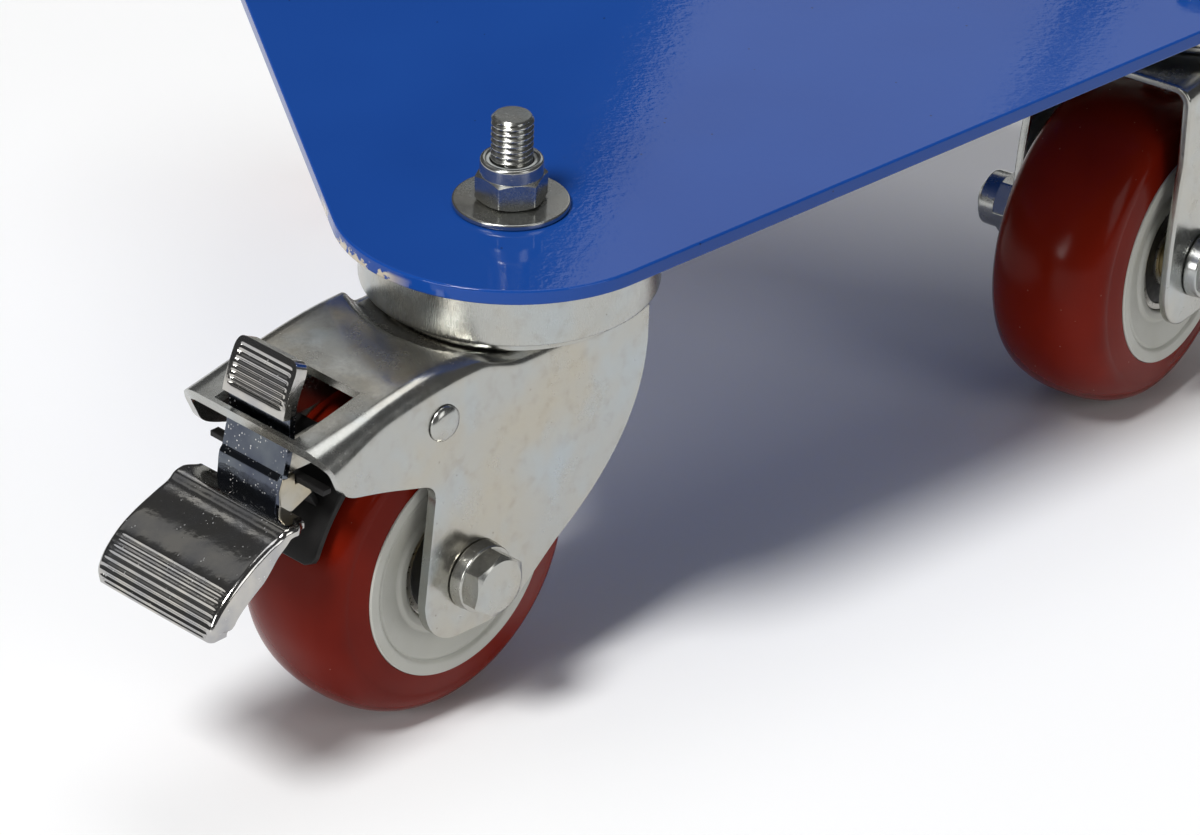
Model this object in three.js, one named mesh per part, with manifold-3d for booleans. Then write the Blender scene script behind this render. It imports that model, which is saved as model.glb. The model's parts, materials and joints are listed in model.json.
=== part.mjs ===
// Triangular three-wheel dolly: a steel deck plate on three stem casters, one of them with a total-lock
// brake. Millimetres, +Z up, origin at the centre of the deck's top face, braked corner towards -Y.

import * as THREE from 'three';
import { mergeVertices } from 'three/addons/utils/BufferGeometryUtils.js';
import Module from 'manifold-3d';

const wasm = await Module();
wasm.setup();

// ---- driving dimensions -------------------------------------------------------------------------

const GAP = 0.25;                 // clearance left between pieces that touch on the real object

const STUD_SPACING = 279.4;       // distance between two caster stems, 11 in
const CORNER_RADIUS = 50;         // deck corner, concentric with the stem
const DECK_THICKNESS = 4.5;
const STEM_RADIUS = 6;            // M12

const WHEEL_RADIUS = 50;          // 100 mm wheel
const TRAIL = 39.2;               // stem axis to wheel axis
const AXLE_Z = -90.2;             // wheel axis below the deck's top face
const TYRE_HALF_WIDTH = 19.4;
const TREAD_CROWN = 10.4;         // drop of the rounded tread from middle to shoulder
const HUB_RADIUS = 33.5;
const HUB_HALF_WIDTH = 21.4;

const FORK_HALF_WIDTH = 28;       // outer face of a leg
const NOSE_FLARE = 2.2;           // how much wider each side of the brake housing is at its front edge
const SHEET = 3;                  // fork sheet thickness
const BEND = 6;                   // outer bend radius between top and legs
const HEAD_Z = -26.5;             // fork top under the raceway
const NOSE_Z = -22;                 // fork top just in front of the raceway
const ROOF_FALL = 11;             // how fast the brake housing's roof falls towards the front
const HEAD_RADIUS = 39;

const CUP_RADIUS = 42.1;
const CUP_TOP_Z = -DECK_THICKNESS - GAP;
const CUP_RIM_Z = -21.8;
const CUP_WALL = 2.5;

const HEX_AXLE = 17;              // across flats
const HEX_STEM = 18;

const PIVOT = [52.3, -37.2];      // brake lever pin: trail, height
const PIVOT_RADIUS = 3;
const LEVER_HALF_WIDTH = 12;
const LEVER_SHEET = 2.2;
const PEDAL_HALF_WIDTH = 23.4;
const CHEEK_IN = LEVER_HALF_WIDTH - LEVER_SHEET;
const NOTCHES = 24;               // swivel lock ring

// Direction in which each caster trails, degrees about Z from +X.
const CASTERS = [
  { name: 'front', corner: -90, trail: 242.7, brake: true },
  { name: 'right', corner: 30, trail: 253.7, brake: false },
  { name: 'left', corner: 150, trail: 10, brake: false },
];

const rad = THREE.MathUtils.degToRad;
const STUD_CIRCLE = STUD_SPACING / Math.sqrt(3);

// ---- finishes -----------------------------------------------------------------------------------

function finish(color, roughness, metalness) {
  return new THREE.MeshStandardMaterial({ color, roughness, metalness });
}

const BLUE_PAINT = finish(0x1d4aa6, 0.25, 0.1);
const ZINC = finish(0xb9bab0, 0.38, 0.9);
const CHROME = finish(0xd8d8da, 0.12, 1.0);
const BLACK_STEEL = finish(0x141414, 0.5, 0.4);
const HUB_GREY = finish(0x9c9e98, 0.5, 0.0);
const TYRE_MAROON = finish(0x521410, 0.28, 0.0);
const BEARING_STEEL = finish(0x8f8f88, 0.3, 0.9);

// ---- geometry helpers ---------------------------------------------------------------------------

// Keeps only positions, merges shared vertices and turns the faces outwards.
function closed(geometry) {
  const bare = geometry.clone();
  for (const name of Object.keys(bare.attributes)) {
    if (name !== 'position') bare.deleteAttribute(name);
  }
  const merged = mergeVertices(bare, 1e-4);
  const index = dropFlatTriangles(merged);
  if (signedVolume(merged, index) < 0) {
    for (let i = 0; i < index.length; i += 3) {
      const first = index[i];
      index[i] = index[i + 1];
      index[i + 1] = first;
    }
  }
  merged.setIndex(index);
  return merged;
}

function dropFlatTriangles(geometry) {
  const index = Array.from(geometry.index.array);
  const kept = [];
  for (let i = 0; i < index.length; i += 3) {
    const [a, b, c] = [index[i], index[i + 1], index[i + 2]];
    if (a !== b && b !== c && a !== c) kept.push(a, b, c);
  }
  return kept;
}

function signedVolume(geometry, index) {
  const position = geometry.attributes.position;
  const [a, b, c] = [new THREE.Vector3(), new THREE.Vector3(), new THREE.Vector3()];
  let volume = 0;
  for (let i = 0; i < index.length; i += 3) {
    a.fromBufferAttribute(position, index[i]);
    b.fromBufferAttribute(position, index[i + 1]);
    c.fromBufferAttribute(position, index[i + 2]);
    volume += a.dot(b.cross(c)) / 6;
  }
  return volume;
}

function toSolid(geometry) {
  const bare = closed(geometry);
  const mesh = new wasm.Mesh({
    numProp: 3,
    vertProperties: new Float32Array(bare.attributes.position.array),
    triVerts: new Uint32Array(bare.index.array),
  });
  return new wasm.Manifold(mesh);
}

function fromSolid(solid) {
  const mesh = solid.getMesh();
  const geometry = new THREE.BufferGeometry();
  geometry.setAttribute('position', new THREE.BufferAttribute(new Float32Array(mesh.vertProperties), 3));
  geometry.setIndex(Array.from(mesh.triVerts));
  return geometry;
}

function cut(geometry, ...tools) {
  return fromSolid(tools.reduce((solid, tool) => solid.subtract(toSolid(tool)), toSolid(geometry)));
}

function join(geometry, ...others) {
  return fromSolid(others.reduce((solid, other) => solid.add(toSolid(other)), toSolid(geometry)));
}

function keepInside(geometry, ...tools) {
  return fromSolid(tools.reduce((solid, tool) => solid.intersect(toSolid(tool)), toSolid(geometry)));
}

function box(x0, x1, y0, y1, z0, z1) {
  const geometry = new THREE.BoxGeometry(x1 - x0, y1 - y0, z1 - z0);
  return geometry.translate((x0 + x1) / 2, (y0 + y1) / 2, (z0 + z1) / 2);
}

// Body of revolution about Z from [radius, height] points.
function turned(points, segments) {
  const profile = points.map(([radius, height]) => new THREE.Vector2(radius, height));
  return new THREE.LatheGeometry(profile, segments).rotateX(Math.PI / 2);
}

// A closed ring section: the profile returns to its first point.
function turnedRing(points, segments) {
  return turned([...points, points[0]], segments);
}

// Turns a body made about Z so that its axis lies along Y, at the wheel axle.
function onAxle(geometry) {
  return geometry.rotateX(-Math.PI / 2).translate(TRAIL, 0, AXLE_Z);
}

function cylinderAlongY(x, z, radius, y0, y1, segments) {
  const geometry = new THREE.CylinderGeometry(radius, radius, y1 - y0, segments);
  return geometry.translate(x, (y0 + y1) / 2, z);
}

// An outline in the trail-height plane, pushed through the caster's width.
function sideways(shape, y0, y1, curveSegments = 5) {
  const geometry = new THREE.ExtrudeGeometry(shape, { depth: y1 - y0, bevelEnabled: false, curveSegments });
  return geometry.rotateX(Math.PI / 2).translate(0, y1, 0);
}

function outline(points) {
  return new THREE.Shape(points.map(([x, y]) => new THREE.Vector2(x, y)));
}

// Hexagon bar from z0 to z1, its corners turned down to a chamfer at the ends named.
function hexagon(acrossFlats, z0, z1, chamferLow, chamferHigh) {
  const corner = acrossFlats / Math.sqrt(3);
  const bar = new THREE.CylinderGeometry(corner, corner, z1 - z0, 6).rotateX(Math.PI / 2);
  bar.translate(0, 0, (z0 + z1) / 2);
  const rim = acrossFlats / 2 * 0.97;
  const drop = (corner - rim) * 0.6;
  const guard = turned([
    [0, z0],
    [chamferLow ? rim : corner + 1, z0],
    [corner + 0.01, z0 + drop],
    [corner + 0.01, z1 - drop],
    [chamferHigh ? rim : corner + 1, z1],
    [0, z1],
  ], 24);
  return keepInside(bar, guard);
}

// A plate of constant thickness that follows a smooth line in the trail-height plane.
function bentPlate(line, thickness, y0, y1, steps) {
  const curve = new THREE.SplineCurve(line.map(([x, y]) => new THREE.Vector2(x, y)));
  const upper = [];
  const lower = [];
  for (let i = 0; i <= steps; i += 1) {
    const t = i / steps;
    const point = curve.getPoint(t);
    const tangent = curve.getTangent(t);
    const offset = new THREE.Vector2(-tangent.y, tangent.x).multiplyScalar(thickness / 2);
    upper.push([point.x + offset.x, point.y + offset.y]);
    lower.unshift([point.x - offset.x, point.y - offset.y]);
  }
  return sideways(outline([...upper, ...lower]), y0, y1);
}

// ---- deck ---------------------------------------------------------------------------------------

function cornerPoint(caster, radius = STUD_CIRCLE) {
  return [radius * Math.cos(rad(caster.corner)), radius * Math.sin(rad(caster.corner))];
}

function arcPoints([x, y], radius, from, to, segments) {
  const curve = new THREE.ArcCurve(x, y, radius, rad(from), rad(to), to < from);
  return curve.getPoints(segments);
}

// Middle of the deck's straight edge that follows a corner.
function edgeMiddle(corner) {
  return new THREE.Vector2(...cornerPoint({ corner: corner + 60 }, STUD_CIRCLE / 2 + CORNER_RADIUS));
}

// The faces are divided into a bare middle triangle and three corners with their stem holes.
function deckPlate() {
  const corners = CASTERS.map((entry) => ({
    outline: [
      edgeMiddle(entry.corner - 120),
      ...arcPoints(cornerPoint(entry), CORNER_RADIUS, entry.corner - 60, entry.corner + 60, 22),
      edgeMiddle(entry.corner),
    ],
    hole: arcPoints(cornerPoint(entry), STEM_RADIUS + 0.5, 360, 0, 20).slice(1),
  }));
  const positions = [];
  const addTriangle = (points) => {
    for (const { x, y } of points) positions.push(x, y, 0);
    for (const { x, y } of [...points].reverse()) positions.push(x, y, -DECK_THICKNESS);
  };
  const addWall = (loop) => loop.forEach((a, i) => {
    const b = loop[(i + 1) % loop.length];
    positions.push(a.x, a.y, 0, a.x, a.y, -DECK_THICKNESS, b.x, b.y, 0);
    positions.push(b.x, b.y, 0, a.x, a.y, -DECK_THICKNESS, b.x, b.y, -DECK_THICKNESS);
  });
  addTriangle(CASTERS.map(({ corner }) => edgeMiddle(corner)));
  for (const { outline: edge, hole } of corners) {
    const points = [...edge, ...hole];
    for (const face of THREE.ShapeUtils.triangulateShape(edge, [hole])) addTriangle(face.map((i) => points[i]));
    addWall(hole);
  }
  addWall(corners.flatMap(({ outline: edge }) => edge.slice(1)));
  const plate = new THREE.BufferGeometry();
  return plate.setAttribute('position', new THREE.Float32BufferAttribute(positions, 3));
}

// ---- stem and swivel head -----------------------------------------------------------------------

const STEM_TOP = 27.7;
const KING_HEAD_TOP = -36.8;
const KING_HEAD_END = -43;
const CONE_TOP = -34;
const CONE_END = -36.5;

function kingBolt() {
  const shank = turned([
    [0, STEM_TOP],
    [STEM_RADIUS - 1, STEM_TOP],
    [STEM_RADIUS - 0.05, STEM_TOP - 1.1],
    [STEM_RADIUS - 0.05, KING_HEAD_TOP - 1],
    [0, KING_HEAD_TOP - 1],
  ], 16);
  return join(shank, hexagon(HEX_STEM, KING_HEAD_END, KING_HEAD_TOP, true, false));
}

function deckWasher() {
  const [inner, outer, low, high] = [6.4, 16.4, 0.15, 1.9];
  return turnedRing([[inner, low], [outer, low], [outer, high], [inner, high]], 24);
}

// Hexagon nut with the round collar of its nylon insert.
function lockNut() {
  const [low, shoulder, top] = [2.05, 10.4, 14.6];
  const hex = hexagon(HEX_STEM, low, shoulder, false, true);
  const collar = turned([
    [0, shoulder - 1],
    [8.9, shoulder - 1],
    [8.9, top - 1.1],
    [8.1, top],
    [0, top],
  ], 18);
  const bore = turned([[0, low - 1], [STEM_RADIUS + 0.15, low - 1], [STEM_RADIUS + 0.15, top + 1], [0, top + 1]], 16);
  return cut(join(hex, collar), bore);
}

// Pressed cup fixed under the deck: it carries the balls and hides them.
function racewayCup() {
  const inner = CUP_RADIUS - CUP_WALL;
  return turnedRing([
    [STEM_RADIUS + 0.2, CUP_TOP_Z],
    [CUP_RADIUS - 2.2, CUP_TOP_Z],
    [CUP_RADIUS, CUP_TOP_Z - 2.2],
    [CUP_RADIUS, CUP_RIM_Z],
    [inner, CUP_RIM_Z],
    [inner, CUP_TOP_Z - CUP_WALL],
    [STEM_RADIUS + 0.2, CUP_TOP_Z - CUP_WALL],
  ], 32);
}

// Balls of a race held by a thin ring, as one body.
function ballCage(circle, height, ballRadius, count) {
  const ring = turnedRing([
    [circle - ballRadius * 0.8, height - 0.6],
    [circle + ballRadius * 0.8, height - 0.6],
    [circle + ballRadius * 0.8, height + 0.6],
    [circle - ballRadius * 0.8, height + 0.6],
  ], 12);
  const balls = [];
  for (let i = 0; i < count; i += 1) {
    const angle = (i / count) * Math.PI * 2;
    const ball = new THREE.IcosahedronGeometry(ballRadius, 0);
    balls.push(ball.translate(circle * Math.cos(angle), circle * Math.sin(angle), height));
  }
  return join(ring, ...balls);
}

const UPPER_BALL = 2.9;
const UPPER_BALL_Z = CUP_TOP_Z - CUP_WALL - GAP - UPPER_BALL;
const LOWER_BALL = 1.85;
const LOWER_BALL_Z = HEAD_Z - SHEET - GAP - LOWER_BALL;

// Pressed hat ring on the fork head that the upper balls run on.
function forkRace() {
  const top = UPPER_BALL_Z - UPPER_BALL - GAP;
  return turnedRing([
    [25, HEAD_Z + GAP],
    [36.5, HEAD_Z + GAP],
    [34.5, top],
    [27, top],
  ], 24);
}

// Lower race plate, clamped by the king bolt's head.
function swivelCone() {
  return turnedRing([
    [STEM_RADIUS + 0.2, CONE_END],
    [12.5, CONE_END],
    [13.2, CONE_TOP],
    [STEM_RADIUS + 0.2, CONE_TOP],
  ], 18);
}

// Lower race plate of the braked caster, with notches round its rim for the lock tooth.
function swivelLockRing() {
  const outer = 18.2;
  const root = 14.2;
  const shape = new THREE.Shape();
  for (let i = 0; i < NOTCHES; i += 1) {
    const pitch = (Math.PI * 2) / NOTCHES;
    const start = (i + 0.5) * pitch;
    const corners = [[root, -0.26], [outer, -0.2], [outer, 0.2], [root, 0.26]];
    for (const [radius, share] of corners) {
      const angle = start + share * pitch;
      const [x, y] = [radius * Math.cos(angle), radius * Math.sin(angle)];
      if (i === 0 && share === -0.26) shape.moveTo(x, y);
      else shape.lineTo(x, y);
    }
  }
  shape.closePath();
  const hole = new THREE.Path();
  hole.absarc(0, 0, STEM_RADIUS + 0.2, 0, Math.PI * 2, true);
  shape.holes.push(hole);
  const ring = new THREE.ExtrudeGeometry(shape, {
    depth: CONE_TOP - CONE_END, bevelEnabled: false, curveSegments: 12,
  });
  return ring.translate(0, 0, CONE_END);
}

// ---- forks --------------------------------------------------------------------------------------

const LEG_BOTTOM = -107.9;
const SHELL_BOTTOM = -114;

function smoothstep(low, high, value) {
  const t = THREE.MathUtils.clamp((value - low) / (high - low), 0, 1);
  return t * t * (3 - 2 * t);
}

// The braked fork's top sheet: a round dish under the raceway, then the brake housing's roof.
const BRAKE_TOP = {
  flare: (x) => NOSE_FLARE * smoothstep(70, 98, x),
  height: (x, y) => {
    if (x < 20) return HEAD_Z;
    const roof = NOSE_Z - ROOF_FALL * smoothstep(42, 122, x);
    return HEAD_Z + (roof - HEAD_Z) * smoothstep(42.8, 47.5, Math.hypot(x, y));
  },
};

const PLAIN_TOP = { flare: () => 0, height: () => HEAD_Z };

// Solid under an inverted U, along stations of the trail axis. It is inset from the sheet's outer face.
function loaf(stations, inset, top, across) {
  const bend = BEND - inset;
  const section = (x) => {
    const halfWidth = FORK_HALF_WIDTH + top.flare(x) - inset;
    const flat = halfWidth - bend;
    const points = [[-halfWidth, SHELL_BOTTOM - inset]];
    const addBend = (side, share) => {
      const angle = share * Math.PI / 2;
      const y = side * (flat + bend * Math.cos(angle));
      points.push([y, top.height(x, y) - inset - bend + bend * Math.sin(angle)]);
    };
    for (let i = 0; i < 4; i += 1) addBend(-1, i / 4);
    for (let i = 0; i <= across; i += 1) {
      const y = -flat + (2 * flat * i) / across;
      points.push([y, top.height(x, y) - inset]);
    }
    for (let i = 3; i >= 0; i -= 1) addBend(1, i / 4);
    points.push([halfWidth, SHELL_BOTTOM - inset]);
    return points;
  };
  const rings = stations.map((x) => section(x).map(([y, z]) => [x, y, z]));
  const count = rings[0].length;
  const triangles = [];
  const quad = (a, b, c, d) => triangles.push(a, b, c, a, c, d);
  for (let i = 0; i + 1 < rings.length; i += 1) {
    for (let j = 0; j < count; j += 1) {
      const next = (j + 1) % count;
      quad(rings[i][j], rings[i + 1][j], rings[i + 1][next], rings[i][next]);
    }
  }
  // End caps: strips between the left and right halves of the ring.
  for (const [ring, flip] of [[rings[0], false], [rings[rings.length - 1], true]]) {
    for (let j = 0; j < Math.floor(count / 2); j += 1) {
      const corners = [ring[j], ring[j + 1], ring[count - 2 - j], ring[count - 1 - j]];
      if (flip) corners.reverse();
      quad(...corners);
    }
  }
  const geometry = new THREE.BufferGeometry();
  geometry.setAttribute('position', new THREE.Float32BufferAttribute(triangles.flat(), 3));
  return geometry;
}

// Rear edge and foot of a leg, drawn from the top rear corner round to the foot's front edge.
function legBack(shape) {
  shape.moveTo(-60, -10);
  shape.lineTo(-60, -33);
  shape.lineTo(-27, -33);
  shape.lineTo(-27, -41.5);
  shape.bezierCurveTo(-25.5, -62, -14, -78, 8, -92.3);
  shape.lineTo(19, -101.5);
  shape.quadraticCurveTo(26, -107.4, 34, LEG_BOTTOM);
  shape.lineTo(47, LEG_BOTTOM + 0.4);
  shape.quadraticCurveTo(57.5, LEG_BOTTOM + 2.5, 58.4, -94);
}

function brakeForkOutline() {
  const shape = new THREE.Shape();
  legBack(shape);
  shape.lineTo(54.9, -61);
  shape.quadraticCurveTo(54.6, -56.2, 59.2, -54.8);
  shape.lineTo(85, -46.9);
  shape.quadraticCurveTo(90.8, -45.2, 91.6, -42.4);
  shape.lineTo(95, -35.2);
  shape.quadraticCurveTo(99.4, -28.5, 100.4, -23.5);
  shape.lineTo(100.4, -10);
  shape.closePath();
  return shape;
}

function plainForkOutline() {
  const shape = new THREE.Shape();
  legBack(shape);
  shape.quadraticCurveTo(57.5, -72, 53, -52);
  shape.lineTo(52.5, -10);
  shape.closePath();
  return shape;
}

// The head is round behind the stem; in front of it the sheet runs on to the legs and the nose.
function planTrim() {
  const disc = new THREE.CylinderGeometry(HEAD_RADIUS, HEAD_RADIUS, 140, 40).rotateX(Math.PI / 2);
  disc.translate(0, 0, -70);
  return join(disc, box(0, 140, -60, 60, -140, 0));
}

function fork(stations, top, across, sideOutline, extraCuts) {
  const outer = loaf(stations, 0, top, across);
  const longer = [stations[0] - 5, ...stations.slice(1, -1), stations[stations.length - 1] + 5];
  const inner = loaf(longer, SHEET, top, across);
  const shell = cut(outer, inner);
  const trimmed = keepInside(shell, sideways(sideOutline, -40, 40, 6), planTrim());
  const stemHole = new THREE.CylinderGeometry(8, 8, 60, 20).rotateX(Math.PI / 2).translate(0, 0, HEAD_Z);
  const axleHole = cylinderAlongY(TRAIL, AXLE_Z, STEM_RADIUS + 0.2, -40, 40, 20);
  return cut(trimmed, stemHole, axleHole, ...extraCuts);
}

function brakeFork() {
  const stations = [-42, 0, 24, 32, 38, 42, 45, 49, 60, 74, 88, 104];
  const window = box(72, 96.6, -15.7, 15.7, -45, -10);
  const pinHole = cylinderAlongY(...PIVOT, PIVOT_RADIUS + 0.2, -40, 40, 16);
  return fork(stations, BRAKE_TOP, 6, brakeForkOutline(), [window, pinHole]);
}

function plainFork() {
  return fork([-42, 0, 60], PLAIN_TOP, 1, plainForkOutline(), []);
}

// ---- axle and wheel -----------------------------------------------------------------------------

const HEAD_TURN = 36;             // how the axle's and the stem nut's hexagons have come to rest, degrees
const NUT_TURN = 25.5;
const HEAD_COLLAR = 30;           // axle head: round collar up to here, then the hexagon
const HEAD_END = 38;
const NUT_HEX_END = 39.5;
const NUT_END = 44.5;
const AXLE_END = 46.5;

function axleBolt() {
  const start = FORK_HALF_WIDTH + GAP;
  const shank = turned([
    [0, -AXLE_END],
    [STEM_RADIUS - 1, -AXLE_END],
    [STEM_RADIUS - 0.1, -AXLE_END + 1],
    [STEM_RADIUS - 0.1, start],
    [10.6, start],
    [9.4, HEAD_COLLAR],
    [0, HEAD_COLLAR],
  ], 16);
  const hex = hexagon(HEX_AXLE, HEAD_COLLAR - 0.5, HEAD_END, false, true).rotateZ(rad(HEAD_TURN));
  return onAxle(join(shank, hex));
}

function axleNut() {
  const start = FORK_HALF_WIDTH + GAP;
  const flange = turned([[0, -start], [11.2, -start], [9.4, -start - 2.4], [0, -start - 2.4]], 16);
  const hex = hexagon(HEX_AXLE, -NUT_HEX_END, -start - 1.8, true, false);
  const collar = turned([
    [0, -NUT_HEX_END + 1],
    [8.6, -NUT_HEX_END + 1],
    [8.6, -NUT_END + 1.4],
    [7.4, -NUT_END],
    [0, -NUT_END],
  ], 16);
  const bore = turned([
    [0, -NUT_END - 1],
    [STEM_RADIUS + 0.15, -NUT_END - 1],
    [STEM_RADIUS + 0.15, 0],
    [0, 0],
  ], 16);
  return onAxle(cut(join(flange, hex, collar), bore));
}

const SLEEVE_RADIUS = 7.5;
const BEARING_RADIUS = 17.5;
const BEARING_FACE = 18.5;        // outer face, from the wheel's middle
const BEARING_WIDTH = 11;

function axleSleeve() {
  const end = FORK_HALF_WIDTH - SHEET - GAP;
  const bore = STEM_RADIUS + 0.2;
  return onAxle(turnedRing([[bore, -end], [SLEEVE_RADIUS, -end], [SLEEVE_RADIUS, end], [bore, end]], 16));
}

function bearing(side) {
  const outerFace = side * BEARING_FACE;
  const innerFace = side * (BEARING_FACE - BEARING_WIDTH);
  return onAxle(turnedRing([
    [SLEEVE_RADIUS + GAP, innerFace],
    [SLEEVE_RADIUS + GAP, outerFace],
    [BEARING_RADIUS, outerFace],
    [BEARING_RADIUS, innerFace],
  ], 20));
}

function hub() {
  const pocket = BEARING_RADIUS + 0.15;
  const half = [
    [12, BEARING_FACE - BEARING_WIDTH - 0.2],
    [pocket, BEARING_FACE - BEARING_WIDTH - 0.2],
    [pocket, 19.6],
    [21.5, 18.6],
    [29.2, HUB_HALF_WIDTH],
    [HUB_RADIUS, HUB_HALF_WIDTH],
  ];
  const mirrored = half.map(([radius, side]) => [radius, -side]).reverse();
  return onAxle(turnedRing([...half, ...mirrored], 28));
}

function treadRadius(share) {
  const power = 2.2;
  return WHEEL_RADIUS - TREAD_CROWN * (1 - (1 - Math.abs(share) ** power) ** (1 / power));
}

function tyre() {
  const bond = HUB_RADIUS + 0.15;
  const points = [[bond, -HUB_HALF_WIDTH + 0.6]];
  const steps = 8;
  for (let i = 0; i <= steps; i += 1) {
    const share = -Math.cos((i / steps) * Math.PI);
    points.push([treadRadius(share), share * TYRE_HALF_WIDTH]);
  }
  points.push([bond, HUB_HALF_WIDTH - 0.6]);
  return onAxle(turnedRing(points, 36));
}

// ---- brake --------------------------------------------------------------------------------------

// Rivet through both legs, with a low dome at each end.
function brakePin() {
  const end = FORK_HALF_WIDTH + GAP;
  const dome = (sign) => [[5.4, sign * end], [5, sign * (end + 1)], [3.2, sign * (end + 1.7)], [0, sign * (end + 1.9)]];
  const pin = turned([
    ...dome(-1).reverse(),
    [PIVOT_RADIUS, -end],
    [PIVOT_RADIUS, end],
    ...dome(1),
  ], 16);
  return pin.rotateX(-Math.PI / 2).translate(PIVOT[0], 0, PIVOT[1]);
}

const TAB_HIGH = [88.9, -11.6];
const TAB_LOW = [94, -23.4];
const NECK = [[93.4, -21.6], [94.2, -27.5], [94.3, -33.5], [95, -37], [96.3, -42.5]];
const NECK_FOOT = [[96.3, -42.5], [98.3, -45], [98.2, -49], [98.6, -53.2]];
const PEDAL_LINE = [[97.6, -53.6], [101, -53.4], [105, -53.9], [112, -56.4], [119, -59.8], [125, -63.6],
  [129.6, -68], [131.9, -72.4], [132, -76]];

// Side cheek of the lever, from its pivot eye to the back of the neck.
function leverCheek(y0, y1) {
  const [px, pz] = PIVOT;
  const shape = new THREE.Shape();
  const eye = 4.4;
  shape.absarc(px, pz, eye, Math.PI / 2, Math.PI * 1.5, false);
  shape.lineTo(60, -42.4);
  shape.lineTo(74, -43.4);
  shape.lineTo(83, -47);
  shape.lineTo(87, -43.4);
  shape.lineTo(92.4, -43.4);
  shape.lineTo(92.4, -47.8);
  shape.lineTo(87.5, -48.4);
  shape.lineTo(84.6, -50.6);
  shape.lineTo(93.4, -56);
  shape.lineTo(97.4, -54.4);
  shape.lineTo(95.8, -43);
  shape.lineTo(94, -33.6);
  shape.lineTo(86, -32.6);
  shape.closePath();
  return sideways(shape, y0, y1, 10);
}

// Ribbed tab above, neck, and the broad foot pedal below, pressed from one sheet.
function brakePedal() {
  const w = LEVER_HALF_WIDTH;
  const tab = bentPlate([TAB_HIGH, [91.9, -17.9], TAB_LOW], 4.2, -w, w, 4);
  const neck = bentPlate(NECK, LEVER_SHEET, -w, w, 8);
  const foot = bentPlate(NECK_FOOT, LEVER_SHEET, -w, w, 8);
  const tread = bentPlate(PEDAL_LINE, LEVER_SHEET, -PEDAL_HALF_WIDTH, PEDAL_HALF_WIDTH, 18);
  const cheeks = [leverCheek(-w, -CHEEK_IN), leverCheek(CHEEK_IN, w)];
  const flangeIn = PEDAL_HALF_WIDTH - LEVER_SHEET;
  const flanges = [
    pedalFlange(-PEDAL_HALF_WIDTH, -flangeIn),
    pedalFlange(flangeIn, PEDAL_HALF_WIDTH),
  ];
  const pinHole = cylinderAlongY(...PIVOT, PIVOT_RADIUS + 0.25, -40, 40, 16);
  return cut(join(tab, neck, foot, tread, ...cheeks, ...flanges), pinHole);
}

// Turned-down side edge of the pedal, deepest near the foot end.
function pedalFlange(y0, y1) {
  const shape = outline([[106, -54.6], [112, -56.6], [119, -60], [125, -63.8], [129.6, -68.2], [131.6, -72.6],
    [131.6, -75.8], [127.4, -73.5], [123.4, -68.5], [117.5, -63.6], [111, -59.2]]);
  return sideways(shape, y0, y1);
}

const SHOE_GAP = 0.6;             // between shoe and tread when locked
const SHOE_SHEET = 2.2;
const SHOE_HALF_WIDTH = 15.5;
const LEAF_HALF_WIDTH = 22.4;      // its top edge sticks out past the lever on both sides
const LEAF_TOP = [91.6, -46.1];

// Curved shoe that lies on the front of the tread. Its sheet rises to a wide leaf behind the lever's neck.
function brakeShoe() {
  const middle = WHEEL_RADIUS + SHOE_GAP + SHOE_SHEET / 2;
  const onTread = (degrees) => [
    TRAIL + middle * Math.cos(rad(degrees)),
    AXLE_Z + middle * Math.sin(rad(degrees)),
  ];
  const arc = [18, 26, 34, 42, 50, 58].map(onTread);
  const shoe = bentPlate(arc, SHOE_SHEET, -SHOE_HALF_WIDTH, SHOE_HALF_WIDTH, 12);
  const [x, z] = LEAF_TOP;
  const riser = bentPlate([LEAF_TOP, [86, -51.5], onTread(36)], 1.6, -CHEEK_IN + GAP, CHEEK_IN - GAP, 3);
  const leaf = box(x - 2, x, -LEAF_HALF_WIDTH, LEAF_HALF_WIDTH, z - 0.8, z + 0.8);
  return join(shoe, riser, leaf);
}

// Rear end of the lever: a cross bar whose tooth rises into a notch of the lock ring.
function lockBar() {
  const bar = box(13.6, 17.6, -9, 9, -39.6, -37.6);
  const tooth = box(14.6, 17.2, -0.75, 0.75, -38, -35.2);
  const arm = outline([[13.6, -39.6], [19, -39.2], [46.5, -36.4], [46.5, -33], [21, -35.6], [17.6, -37.6],
    [13.6, -37.6]]);
  const arms = [-9, 7].map((y) => sideways(arm, y, y + 2));
  const eyes = [-9, 7].map((y) => cylinderAlongY(...PIVOT, 4.4, y, y + 2, 20));
  const links = [-9, 7].map((y) => box(44, 52, y, y + 2, -38.6, -34.6));
  const pinHole = cylinderAlongY(...PIVOT, PIVOT_RADIUS + 0.25, -40, 40, 16);
  return cut(join(bar, tooth, ...arms, ...eyes, ...links), pinHole);
}

class Helix extends THREE.Curve {
  constructor(radius, length, turns) {
    super();
    Object.assign(this, { radius, length, turns });
  }

  getPoint(t) {
    const angle = t * this.turns * Math.PI * 2;
    return new THREE.Vector3(
      PIVOT[0] + this.radius * Math.cos(angle),
      this.length * t,
      PIVOT[1] + this.radius * Math.sin(angle),
    );
  }
}

// Torsion spring wound round the pin beside the lever.
function brakeSpring() {
  const wire = new THREE.Shape();
  wire.absarc(0, 0, 0.8, 0, Math.PI * 2, false);
  const path = new Helix(4.6, 9, 3.5);
  const coil = new THREE.ExtrudeGeometry(wire, {
    steps: 42, extrudePath: path, bevelEnabled: false, curveSegments: 3,
  });
  return coil.translate(0, LEVER_HALF_WIDTH + 2, 0);
}

// ---- assembly -----------------------------------------------------------------------------------

function named(name, geometry, material) {
  const mesh = new THREE.Mesh(closed(geometry), material);
  mesh.name = name;
  return mesh;
}

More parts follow.
